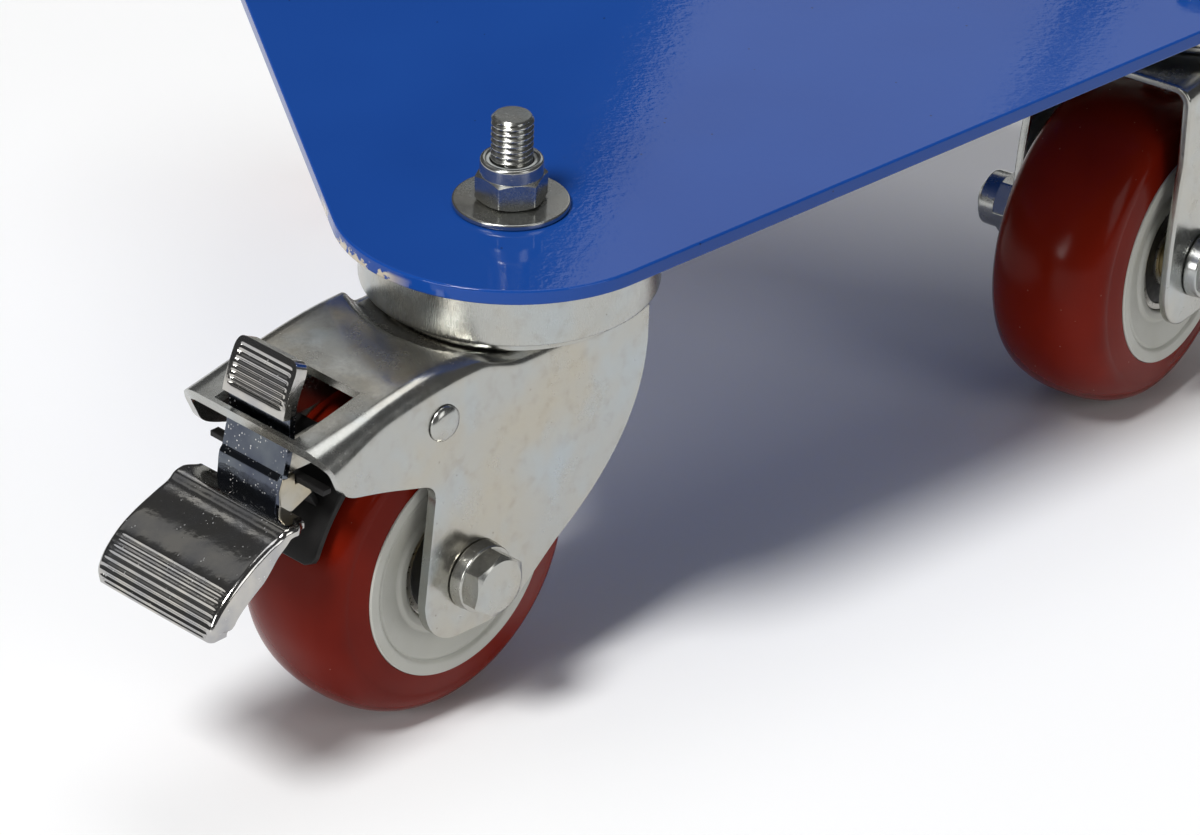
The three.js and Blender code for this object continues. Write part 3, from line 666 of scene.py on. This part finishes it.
def swivel_head(caster, cup_zinc, zinc_turned, steel):
    """Pressed cup, race and the two rings of balls."""
    inner = CUP_RADIUS - CUP_WALL
    cup = [(6.2, CUP_TOP), (CUP_RADIUS - 0.4, CUP_TOP), (CUP_RADIUS, CUP_RIM), (inner, CUP_RIM)]
    cup += [(inner, CUP_TOP - CUP_WALL), (6.2, CUP_TOP - CUP_WALL)]
    caster.make("raceway_cup", lathe(fillet(cup, 1.6, 5), 160), cup_zinc, "deck", "zinc_plate", sharp=50)

    low, high = (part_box(f"{caster.name}_fork_race")[n].z / MM for n in (0, 1))
    race = fillet([(25, low), (36.5, low), (34.5, high), (27, high)], 1.0)
    caster.make("fork_race", lathe(race), zinc_turned, "swivel", "zinc_plate")
    ball_ring(caster, "upper_ball_cage", 30.7, 2.9, 24, steel)
    ball_ring(caster, "lower_ball_cage", 10.6, 1.85, 14, steel)


def ball_ring(caster, part, circle, radius, count, steel):
    """Loose balls side by side, in the height that the CAD's cage takes."""
    low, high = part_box(f"{caster.name}_{part}")
    middle = (low.z + high.z) / 2 / MM
    profile = [(radius * math.cos(math.radians(a)), middle + radius * math.sin(math.radians(a)))
               for a in range(-90, 91, 15)]
    ball = lathe([*profile, (0, middle + radius)], 20)
    shapes = []
    for k in range(count):
        angle = 2 * math.pi * k / count
        verts = [(x + circle * math.cos(angle), y + circle * math.sin(angle), z) for x, y, z in ball[0]]
        shapes.append((verts, ball[1]))
    caster.make(part, together(*shapes), steel, "swivel", "bearing_steel")


# ---- forks ----------------------------------------------------------------------------------------

def leg_back():
    """Rear edge and foot of a leg, from the head down and round to the foot's front."""
    line = [(-27, -41.5)]
    line += cubic(line[-1], (-25.5, -62), (-14, -78), (8, -92.3), 16)
    line += [(19, -101.5)]
    line += quadratic(line[-1], (26, -107.4), (34, -107.9), 6)
    line += [(47, -107.5)]
    line += quadratic(line[-1], (57.5, -105.4), (58.4, -94), 8)
    return line


class BrakeFork:
    """Top sheet with the dish and the sloping roof of the brake housing, whose nose starts at the joint."""

    joint = 70
    window = True
    rows = [8, 16, 22, 26, *(28 + 1.25 * k for k in range(18)), 54, 59, 64.5]
    marks = [0, 0.07, 0.2, 0.35, 0.5, 0.65, 0.8, 0.945, 1]

    @staticmethod
    def bend(x):
        return BEND + 3 * smoothstep(74, 98, x)

    @staticmethod
    def half(x):
        return FORK_HALF + NOSE_FLARE * smoothstep(70, 98, x)

    @staticmethod
    def height(x, y):
        if x < 20:
            return HEAD_Z
        roof = NOSE_Z - ROOF_FALL * smoothstep(42, 122, x)
        start = 42.8 - 9 * smoothstep(14, 26, y)
        return HEAD_Z + (roof - HEAD_Z) * smoothstep(start, 47.5, math.hypot(x, y))

    @staticmethod
    def front():
        """Front edge of the nose from its top down, in side view, and round to the straight lower edge."""
        line = [(NOSE_END, -20), (NOSE_END, -26.5)]
        line += quadratic(line[-1], (98.6, -30), (95, -35.2), 5)
        line += [(91.6, -42.4)]
        line += quadratic(line[-1], (90.8, -45.2), (85, -46.9), 6)
        return line

    @staticmethod
    def leg_end():
        """Lower edge of a leg from the foot's front up to the joint with the nose."""
        line = [(54.9, -61)]
        line += quadratic(line[-1], (54.6, -56.2), (59.2, -54.8), 6)
        line += [(70, -51.5)]
        return line


class PlainFork:
    """Flat top, cut off just in front of the wheel's top."""

    joint = None
    window = False
    rows = [8, 16, 24, 32, 40, 47, 52.5]

    @staticmethod
    def bend(x):
        return BEND

    @staticmethod
    def half(x):
        return FORK_HALF

    @staticmethod
    def height(x, y):
        return HEAD_Z

    @staticmethod
    def leg_end():
        return quadratic((58.4, -94), (57.5, -72), (53, -52), 10) + [(52.7, -42)]


def columns(kind):
    """The top sheet's columns from one leg to the other, each a function of x that gives y and z.

    With them comes each column's share of the window's half width, None in the two bends.
    """

    def bend(side, angle):
        def column(x):
            radius = kind.bend(x)
            y = side * (kind.half(x) - radius + radius * math.cos(angle))
            return y, kind.height(x, y) - radius + radius * math.sin(angle)
        return column

    def flat(share):
        def column(x):
            if abs(share) <= 1:
                y = WINDOW_HALF * share
            else:
                edge = kind.half(x) - kind.bend(x)
                y = math.copysign(WINDOW_HALF + (edge - WINDOW_HALF) * (abs(share) - 1), share)
            return y, kind.height(x, y)
        return column

    steps = 9
    angles = [math.pi / 2 * k / steps for k in range(steps)]
    shares = [-2, -1.6, -1.3, *(k / 8 for k in range(-8, 9)), 1.3, 1.6, 2]
    made = [bend(-1, angle) for angle in angles]
    made += [flat(share) for share in shares]
    made += [bend(1, angle) for angle in reversed(angles)]
    return made, [None] * steps + shares + [None] * steps


def fork_skin(kind):
    """Outer face of a fork: the top sheet as a grid, the two legs joined to it."""
    made, shares = columns(kind)
    rows_back = [-1, -0.85, -0.65, -0.4, -0.2, 0]
    nose = kind.front() if kind.joint else None
    verts, grid = [], []
    for column in made:
        reach = math.sqrt(HEAD_RADIUS ** 2 - column(0)[0] ** 2)
        xs = [reach * share for share in rows_back] + kind.rows
        if kind.joint:
            end = NOSE_END
            for _ in range(6):
                end = x_at(nose, column(end)[1])
            xs += [kind.joint + (end - kind.joint) * mark for mark in kind.marks]
        line = []
        for x in xs:
            y, z = column(x)
            line.append(len(verts))
            verts.append((x, y, z))
        grid.append(line)
    faces = []
    first = len(rows_back) + len(kind.rows)
    window = range(first + 1, first + 7) if kind.window else ()
    for c in range(len(grid) - 1):
        inside = all(share is not None and abs(share) <= 1 for share in shares[c:c + 2])
        for r in range(len(grid[0]) - 1):
            if not (inside and r in window):
                faces.append((grid[c][r], grid[c][r + 1], grid[c + 1][r + 1], grid[c + 1][r]))
    for side, line in ((-1, grid[0]), (1, grid[-1])):
        leg(kind, side, line, first, verts, faces, nose)
    return verts, faces


def x_at(line, z):
    """x where a line that runs downwards reaches height z."""
    for (x0, z0), (x1, z1) in zip(line, line[1:]):
        if z0 >= z >= z1:
            return x0 + (x1 - x0) * (z0 - z) / (z0 - z1) if z0 != z1 else x0
    return line[0][0] if z > line[0][1] else line[-1][0]


def leg(kind, side, top, first, verts, faces, nose):
    """One leg: a flat plate, and for the braked fork a flared panel in front of it."""

    def add(x, z):
        verts.append((x, side * kind.half(x), z))
        return len(verts) - 1

    def face(corners):
        faces.append(tuple(corners) if side < 0 else tuple(reversed(corners)))

    back = [add(x, z) for x, z in leg_back()]
    end = [add(x, z) for x, z in kind.leg_end()]
    if not kind.joint:
        face(top[::-1] + back + end)
        return
    steps = 8
    x0, z0 = verts[top[first]][0], verts[top[first]][2]
    z1 = kind.leg_end()[-1][1]
    seam = [top[first], *(add(x0, z0 + (z1 - z0) * k / steps) for k in range(1, steps)), end[-1]]
    face(top[first::-1] + back + end + seam[-2:0:-1])
    tip = verts[top[-1]]
    edge = [(tip[0], tip[2])] + [point for point in nose if point[1] < tip[2] - 0.2]
    lengths = running_lengths(edge)
    # Between the seam and the nose's front edge the panel blends from one to the other under the roof.
    previous = seam
    for n, mark in enumerate(kind.marks[1:], 1):
        current = [top[first + n]]
        for k in range(1, steps + 1):
            front_x, front_z = along(edge, lengths, k / steps)
            top_z = verts[top[first + n]][2]
            plain_z = verts[top[first]][2] * (1 - mark) + tip[2] * mark
            left_z = z0 + (z1 - z0) * k / steps
            z = left_z * (1 - mark) + front_z * mark + (top_z - plain_z) * (1 - k / steps)
            current.append(add(x0 * (1 - mark) + front_x * mark, z))
        for k in range(steps):
            face((previous[k], previous[k + 1], current[k + 1], current[k]))
        previous = current


def along(line, lengths, share):
    """The point at a share of a line's length."""
    wanted = lengths[-1] * share
    for i in range(1, len(line)):
        if lengths[i] >= wanted - 1e-9:
            return between(line[i - 1], line[i], (wanted - lengths[i - 1]) / (lengths[i] - lengths[i - 1]))
    return line[-1]


def running_lengths(line):
    """Length along a line up to each of its points."""
    lengths = [0]
    for a, b in zip(line, line[1:]):
        lengths.append(lengths[-1] + math.dist(a, b))
    return lengths


def fork(caster, material):
    """The fork's skin, thickened to its sheet."""
    skin = fork_skin(BrakeFork if caster.braked else PlainFork)
    caster.make("fork", skin, material, "swivel", "zinc_plate", sheet=SHEET, bevel=0.8)


# ---- axle and wheel -------------------------------------------------------------------------------

def axle(caster, zinc_turned, insert, sleeve):
    """Axle bolt, its lock nut with a nylon ring, and the sleeve between the legs."""
    shank = lathe(fillet([(0, -46.5), (5.0, -46.5), (5.9, -45.4), (5.9, 29), (0, 29)], 0.3), 48)
    collar = lathe(fillet([(0, 28.25), (10.4, 28.25), (9.9, 32.4), (0, 32.4)], 0.6), 72)
    head = turned(hexagon(HEX_AXLE, 29.0, 38, 0, chamfer_low=False), HEAD_TURN)
    bolt = together(shank, collar, head)
    caster.make("axle_bolt", on_axle(bolt), zinc_turned, "swivel", "zinc_plate", sharp=28)

    flange = lathe(fillet([(6.1, -28.25), (11.2, -28.25), (11.0, -29.2), (9.4, -31), (6.1, -31)], 0.5), 72)
    flats = hexagon(HEX_AXLE, -39.5, -30, 6.15, chamfer_high=False)
    collar = lathe(fillet([(6.9, -38.5), (8.6, -38.5), (8.6, -44.5), (6.9, -44.5)], 1.0), 72)
    nut = together(flange, flats, collar)
    caster.make("axle_nut", on_axle(nut), zinc_turned, "swivel", "zinc_plate", sharp=28)
    ring = lathe(fillet([(6.1, -44.1), (7, -44.1), (7, -40), (6.1, -40)], 0.3), 64)
    make_insert(caster, "axle_nut_insert", on_axle(ring), insert, "swivel")

    tube = lathe(fillet([(6.2, -24.7), (7.5, -24.7), (7.5, 24.7), (6.2, 24.7)], 0.3), 64)
    caster.make("axle_sleeve", on_axle(tube), sleeve, "swivel", "zinc_plate")


def wheel(caster, plastic, rubber, steel, seal):
    """Hub, tyre, and on each side a bearing with its seal."""
    half = [(12, 7.3), (17.65, 7.3), (17.65, 18.9), (18.3, 19.6), (20.4, 19.6), (21.4, 18.7), (28.6, 20.6)]
    half += [(29.2, 20.2), (29.8, 21.1), (30.4, HUB_HALF), (HUB_RADIUS, HUB_HALF)]
    hub_line = half + [(r, -w) for r, w in reversed(half)]
    caster.make("hub", on_axle(lathe(fillet(hub_line, 0.45, 3), 144)), plastic, "wheel", "hub_plastic")

    bond = HUB_RADIUS + 0.15
    tread = [(bond, -HUB_HALF + 0.6), (bond + 3.2, -HUB_HALF + 1.1)]
    steps, power = 44, 2.2
    for k in range(steps + 1):
        share = -math.cos(math.pi * k / steps)
        drop = TREAD_CROWN * (1 - (1 - abs(share) ** power) ** (1 / power))
        tread.append((WHEEL_RADIUS - drop, share * TYRE_HALF))
    tread += [(bond + 3.2, HUB_HALF - 1.1), (bond, HUB_HALF - 0.6)]
    caster.make("tyre", on_axle(lathe(tread, 160)), rubber, "wheel", "tyre_urethane", sharp=50)

    for part, side in (("bearing_head_side", 1), ("bearing_nut_side", -1)):
        outer = fillet([(15.6, 7.5), (17.5, 7.5), (17.5, 18.5), (15.6, 18.5)], 0.3, 2)
        inner = fillet([(7.75, 7.5), (9.7, 7.5), (9.7, 18.5), (7.75, 18.5)], 0.3, 2)
        cover = fillet([(9.6, 9), (15.7, 9), (15.7, 17.9), (14.6, 18.2), (10.8, 18.2), (9.6, 17.9)], 0.4, 2)
        races = together(lathe(outer, 72), lathe(inner, 72))
        caster.make(part, on_axle(mirrored(races, side)), steel, "wheel", "bearing_steel")
        make_insert(caster, f"{part}_seal", on_axle(mirrored(lathe(cover, 72), side)), seal, "wheel")


def mirrored(shape, side):
    """A shape as it is for side 1, and upside down for side -1."""
    return [(x, y, z * side) for x, y, z in shape[0]], shape[1]


# ---- brake ----------------------------------------------------------------------------------------

TAB_LINE = [(88.9, -11.6), (91.9, -17.9), (94, -23.4), (94.8, -26.6)]
NECK_LINE = [(92.6, -21.6), (93.3, -27.5), (93.6, -33.5), (94.4, -37), (95.7, -42.6), (96.3, -44.2)]
FOOT_LINE = [(96.5, -43.7), (97.3, -44.5), (97.7, -46.4), (97.9, -49), (98.3, -52.6)]
PEDAL_LINE = [(97.6, -53.4), (101, -53.2), (104.6, -53.4), (107.2, -54.9), (112, -56.6), (119, -59.8),
              (125, -63.6), (129.6, -68), (131.9, -72.4), (132, -76)]


def pedal(caster, mirror, shade_darkened, cheek, tan):
    """Ribbed tab, neck with its cheeks, and the broad ribbed foot plate."""
    neck = plate(spline(NECK_LINE, 5), LEVER_SHEET, -LEVER_HALF, LEVER_HALF)
    foot = plate(spline(FOOT_LINE, 5), LEVER_SHEET, -LEVER_HALF + 0.4, LEVER_HALF - 0.4)
    sides = ((-LEVER_HALF, -9.8), (9.8, LEVER_HALF))
    upper = together(*(extruded(upper_cheek(), y0, y1) for y0, y1 in sides))
    lower = together(*(extruded(lower_cheek(), y0 + 0.05, y1 - 0.05) for y0, y1 in sides))
    options = {"body": "brake", "slot": "chrome_plate"}
    # The neck and the short foot under it take the chrome whose colour is darkened with painted shade.
    caster.make("brake_pedal", together(neck, foot), shade_darkened, bevel=0.45, **options)
    options["replaces"] = ()
    caster.make("brake_upper_cheeks", upper, cheek, bevel=0.5, **options)
    caster.make("brake_lower_cheeks", lower, tan, bevel=0.4, **options)
    caster.make("brake_foot_plate", foot_plate(), mirror, sheet=2.0, bevel=0.4, **options)
    caster.make("brake_tab", tab_skin(), mirror, sheet=4.2, bevel=1.2, **options)


def tab_skin():
    """The tab's front face: rounded corners, a smooth border and six ribs in a shallow panel."""
    line = spline(TAB_LINE, 24)
    sides = normals(line)
    length = sum(math.dist(a, b) for a, b in zip(line, line[1:]))
    across, corner = 40, 3.4
    verts = []
    for row, ((x, z), n) in enumerate(zip(line, sides)):
        along_tab = length * row / (len(line) - 1)
        cut = max(0, corner - along_tab)
        half = LEVER_HALF - corner + math.sqrt(max(0, corner ** 2 - cut ** 2))
        for k in range(across + 1):
            y = half * (2 * k / across - 1)
            inside = smoothstep(1.9, 2.7, LEVER_HALF - abs(y)) * smoothstep(1.9, 2.7, along_tab)
            inside *= smoothstep(3.6, 4.6, length - along_tab)
            rib = 0.5 - 0.5 * math.cos(2 * math.pi * (along_tab - 2.2) / TAB_RIB)
            depth = 2.1 - inside * (0.65 - 0.6 * rib)
            verts.append((x + n[0] * depth, y, z + n[1] * depth))
    return verts, grid_faces(len(line) - 1, across)


def upper_cheek():
    """Side of a cheek from the rivet's eye to the neck."""
    eye = arc((PIVOT_X, PIVOT_Z), PIVOT_EYE, math.pi / 2, math.pi * 3 / 2, 15)
    under = [(60, -42.4), (74, -43.4), (83, -45.5), (86.5, -43.2), (94.8, -43.2)]
    neck = [(95, -42), (93, -33.8), (86, -32.8)]
    return eye + under + neck


def lower_cheek():
    """Side of a cheek between the neck and the foot plate."""
    back = [(96.6, -44.2), (92.3, -44.0), (92.1, -47.2), (89.2, -47.2), (87.9, -48.8), (85.8, -52.4)]
    front = [(93.4, -55.6), (97.6, -54.2), (98, -48)]
    return back + front


def foot_plate():
    """The pedal's outer skin: crowned across, ribbed near the foot end, its sides turned down."""
    line = spline(PEDAL_LINE, 14)
    sides = normals(line)
    lengths = running_lengths(line)
    total = lengths[-1]
    verts = []
    rows, across, radius = 170, 34, 1.7
    for row in range(rows + 1):
        # The plate's half width, the depth of its turned-down sides and the height of its ribs at this row.
        reach = total * row / rows
        x, z = along(line, lengths, row / rows)
        n = sides[min(range(len(lengths)), key=lambda k: abs(lengths[k] - reach))]
        half = PEDAL_HALF - 2.2 * smoothstep(4.5, 0, reach) - 0.8 * smoothstep(2, 12, reach)
        half += 0.8 * smoothstep(12, 30, reach) - 0.8 * smoothstep(total - 4.0, total + 1.0, reach)
        depth = 0.8 + 5.2 * smoothstep(5, 22, reach) - 2.0 * smoothstep(total - 7, total, reach)
        ribbed = smoothstep(total - 15.2, total - 14.2, reach) * smoothstep(total - 0.6, total - 1.4, reach)
        rib = 0.5 + 0.5 * math.cos(2 * math.pi * (total - reach) / PEDAL_RIB)
        loop = []
        for k in range(across + 1):
            y = (half - radius) * (2 * k / across - 1)
            panel = ribbed * smoothstep(1.7, 2.5, half - abs(y))
            crown = 0.15 * (y / half) ** 2
            loop.append((y, 1.18 - crown - panel * 0.55 * (1 - rib)))
        side = loop[-1][1] - radius
        bend = []
        for k in range(1, 7):
            angle = math.pi / 2 * k / 6
            bend.append((half - radius + radius * math.sin(angle), side + radius * math.cos(angle)))
        bend += [(half, side - depth * 0.5), (half, side - depth)]
        section = [(-y, d) for y, d in reversed(bend)] + loop + bend
        verts += [(x + n[0] * d, y, z + n[1] * d) for y, d in section]
    return verts, grid_faces(rows, len(verts) // (rows + 1) - 1)


def brake_shoe(caster, material):
    """Black shoe on the tread with rounded lower corners, and the wide leaf behind the lever's neck."""
    inner = WHEEL_RADIUS + SHOE_GAP
    reach = inner + SHOE_SHEET
    verts = []
    rows, across = 24, 16
    for row in range(rows + 1):
        angle = math.radians(58 - 40 * row / rows)
        left = 40 * (rows - row) / rows
        half = SHOE_HALF - 3.2 * (1 - math.sqrt(max(0, 1 - max(0, 1 - left / 4) ** 2)))
        for k in range(across + 1):
            y = half * (2 * k / across - 1)
            verts.append((TRAIL + reach * math.cos(angle), y, AXLE_Z + reach * math.sin(angle)))
    skin = (verts, grid_faces(rows, across))
    caster.make("brake_shoe", skin, material, "brake", "black_steel", sheet=SHOE_SHEET, bevel=0.4)
    middle = inner + SHOE_SHEET / 2
    foot = (TRAIL + middle * math.cos(math.radians(36)), AXLE_Z + middle * math.sin(math.radians(36)))
    riser = plate(spline([(91.6, -46.1), (86, -51.5), foot], 6), 1.6, -9.5, 9.5)
    leaf = extruded([(88.8, -47.0), (91.9, -47.0), (91.9, -45.2), (88.8, -45.2)], -LEAF_HALF, LEAF_HALF)
    shape = together(riser, leaf)
    caster.make("brake_leaf", shape, material, "brake", "black_steel", replaces=(), bevel=0.3)


def brake_pin(caster, material):
    """Rivet with a low dome at each end."""
    dome = [(0, 30.15), (3.2, 29.95), (4.6, 29.4), (5.3, 28.7), (5.4, 28.25), (3, 28.25)]
    profile = dome + [(r, -w) for r, w in reversed(dome)]
    verts, faces = lathe(profile, 64)
    rivet = [(PIVOT_X + x, z, PIVOT_Z - y) for x, y, z in verts], faces
    caster.make("brake_pin", rivet, material, "swivel", "zinc_plate", sharp=60)


# ---- studio ---------------------------------------------------------------------------------------

def ground():
    """The camera's right and away directions on the ground, and the middle of the braked corner."""
    turn = math.radians(CAMERA_TURN)
    right = Vector((math.cos(turn), math.sin(turn), 0))
    away = Vector((-math.sin(turn), math.cos(turn), 0))
    return right, away, stem_spot("front")


def softbox(name, spot, size, power, towards=(0.0, 0.1, -0.05), lean=0):
    """An area light at (right, away, up) metres from the braked corner, aimed near it and tilted by lean."""
    right, away, corner = ground()

    def world(point):
        return corner + right * point[0] + away * point[1] + Vector((0, 0, point[2]))

    light = bpy.data.lights.new(name, "AREA")
    light.shape = "RECTANGLE"
    light.size, light.size_y = size
    light.energy = power
    lamp = bpy.data.objects.new(name, light)
    bpy.context.collection.objects.link(lamp)
    aim = (world(towards) - world(spot)).normalized()
    facing = aim.to_track_quat("-Z", "Y").to_matrix().to_4x4() @ Matrix.Rotation(math.radians(lean), 4, "Z")
    lamp.matrix_world = Matrix.Translation(world(spot)) @ facing


def sun(direction, strength, spread):
    """A distant soft lamp from a direction given as (right, away, up)."""
    right, away, _ = ground()
    source = right * direction[0] + away * direction[1] + Vector((0, 0, direction[2]))
    light = bpy.data.lights.new("key", "SUN")
    light.energy = strength
    light.angle = math.radians(spread)
    lamp = bpy.data.objects.new("key", light)
    bpy.context.collection.objects.link(lamp)
    lamp.matrix_world = (-source).to_track_quat("-Z", "Y").to_matrix().to_4x4()


def studio():
    """Dim world, sun and soft panels, whose shapes show as reflections in the paint and the chrome."""
    scene = bpy.context.scene
    scene.view_settings.view_transform = "Standard"
    world = bpy.data.worlds.new("studio")
    world.use_nodes = True
    background = world.node_tree.nodes["Background"]
    background.inputs["Color"].default_value = (0.60, 0.61, 0.63, 1)
    background.inputs["Strength"].default_value = 0.10
    scene.world = world

    sun((-0.35, -0.45, 0.85), 2.75, 16)
    softbox("overhead", (0.1, 0.5, 2.0), (1.2, 1.2), 9)
    softbox("window_left", (0.14, 1.7, 0.87), (0.2, 0.62), 0.32, (0.1, 0.05, 0), -20)
    softbox("window_right", (0.58, 1.7, 0.87), (0.58, 0.62), 0.92, (0.1, 0.05, 0), -20)
    softbox("roof_panel", (-0.25, 1.25, 1.2), (0.9, 0.22), 0.5)
    softbox("pedal_strip", (-0.5, 0.75, 1.4), (0.10, 0.9), 0.13)
    softbox("pedal_sheet", (-1.15, 0.5, 1.25), (0.4, 0.9), 0.2)
    softbox("front_left_strip", (-0.95, -1.0, 0.35), (0.4, 0.5), 5.5)
    softbox("front_right", (1.35, -1.1, 0.7), (0.8, 0.9), 5)
    floor()


def floor():
    """Plain pale ground under the wheels."""
    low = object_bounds()[0].z
    g = Graph("pale_floor")
    base = g.mix(g.noise(400, 2), colour(0.90, 0.90, 0.90), colour(0.92, 0.92, 0.92))
    g.set(Base_Color=base, Roughness=0.7, Specular_IOR_Level=0.2)
    mesh = bpy.data.meshes.new("studio_floor")
    reach = 6
    corners = [(-reach, -reach), (reach, -reach), (reach, reach), (-reach, reach)]
    mesh.from_pydata([(x, y, low) for x, y in corners], [], [(0, 1, 2, 3)])
    mesh.materials.append(g.material)
    plane = bpy.data.objects.new("studio_floor", mesh)
    bpy.context.collection.objects.link(plane)
    plane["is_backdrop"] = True


# ---- assembly -------------------------------------------------------------------------------------

def coat_nodes(dark, bright):
    """Materials for the CAD nodes, some of which have no fine piece."""
    for name, node in frame["nodes"].items():
        node.data.materials.clear()
        node.data.materials.append(dark if "lock_bar" in name or "spring" in name else bright)


def main():
    make_camera()
    sheet_zinc = zinc("zinc_sheet", brushed=(1, 1, 1), streaks=0.22, roughness=0.17, warmth=0.6)
    tan_zinc = zinc("zinc_tan", brushed=(1, 1, 1), streaks=0.22, roughness=0.3, warmth=2.0)
    turned_zinc = zinc("zinc_turned", brushed=(1, 1, 1), streaks=0.10, roughness=0.18, warmth=0.35)
    cup_zinc = zinc("zinc_pressed_cup", brushed=(6, 6, 0.25), streaks=0.6, roughness=0.22, warmth=0.35)
    # The second chrome is the mirror chrome darkened with painted shade, for the lever's neck.
    mirror, shade_darkened = chrome("mirror_chrome", False), chrome("shade_darkened_chrome", True)
    steel, sleeve, seal, insert = bearing_steel(), brass_zinc(), seal_rubber(), nylon()
    plastic, rubber, black = hub_plastic(), urethane(), black_steel()
    coat_nodes(black, turned_zinc)
    deck_plate(paint_blue())
    for caster in (Caster("front", True), Caster("right", False), Caster("left", False)):
        stem(caster, turned_zinc, insert)
        swivel_head(caster, cup_zinc, turned_zinc, steel)
        fork(caster, sheet_zinc)
        axle(caster, turned_zinc, insert, sleeve)
        wheel(caster, plastic, rubber, steel, seal)
        if caster.braked:
            pedal(caster, mirror, shade_darkened, sheet_zinc, tan_zinc)
            brake_shoe(caster, black)
            brake_pin(caster, turned_zinc)
    studio()


main()
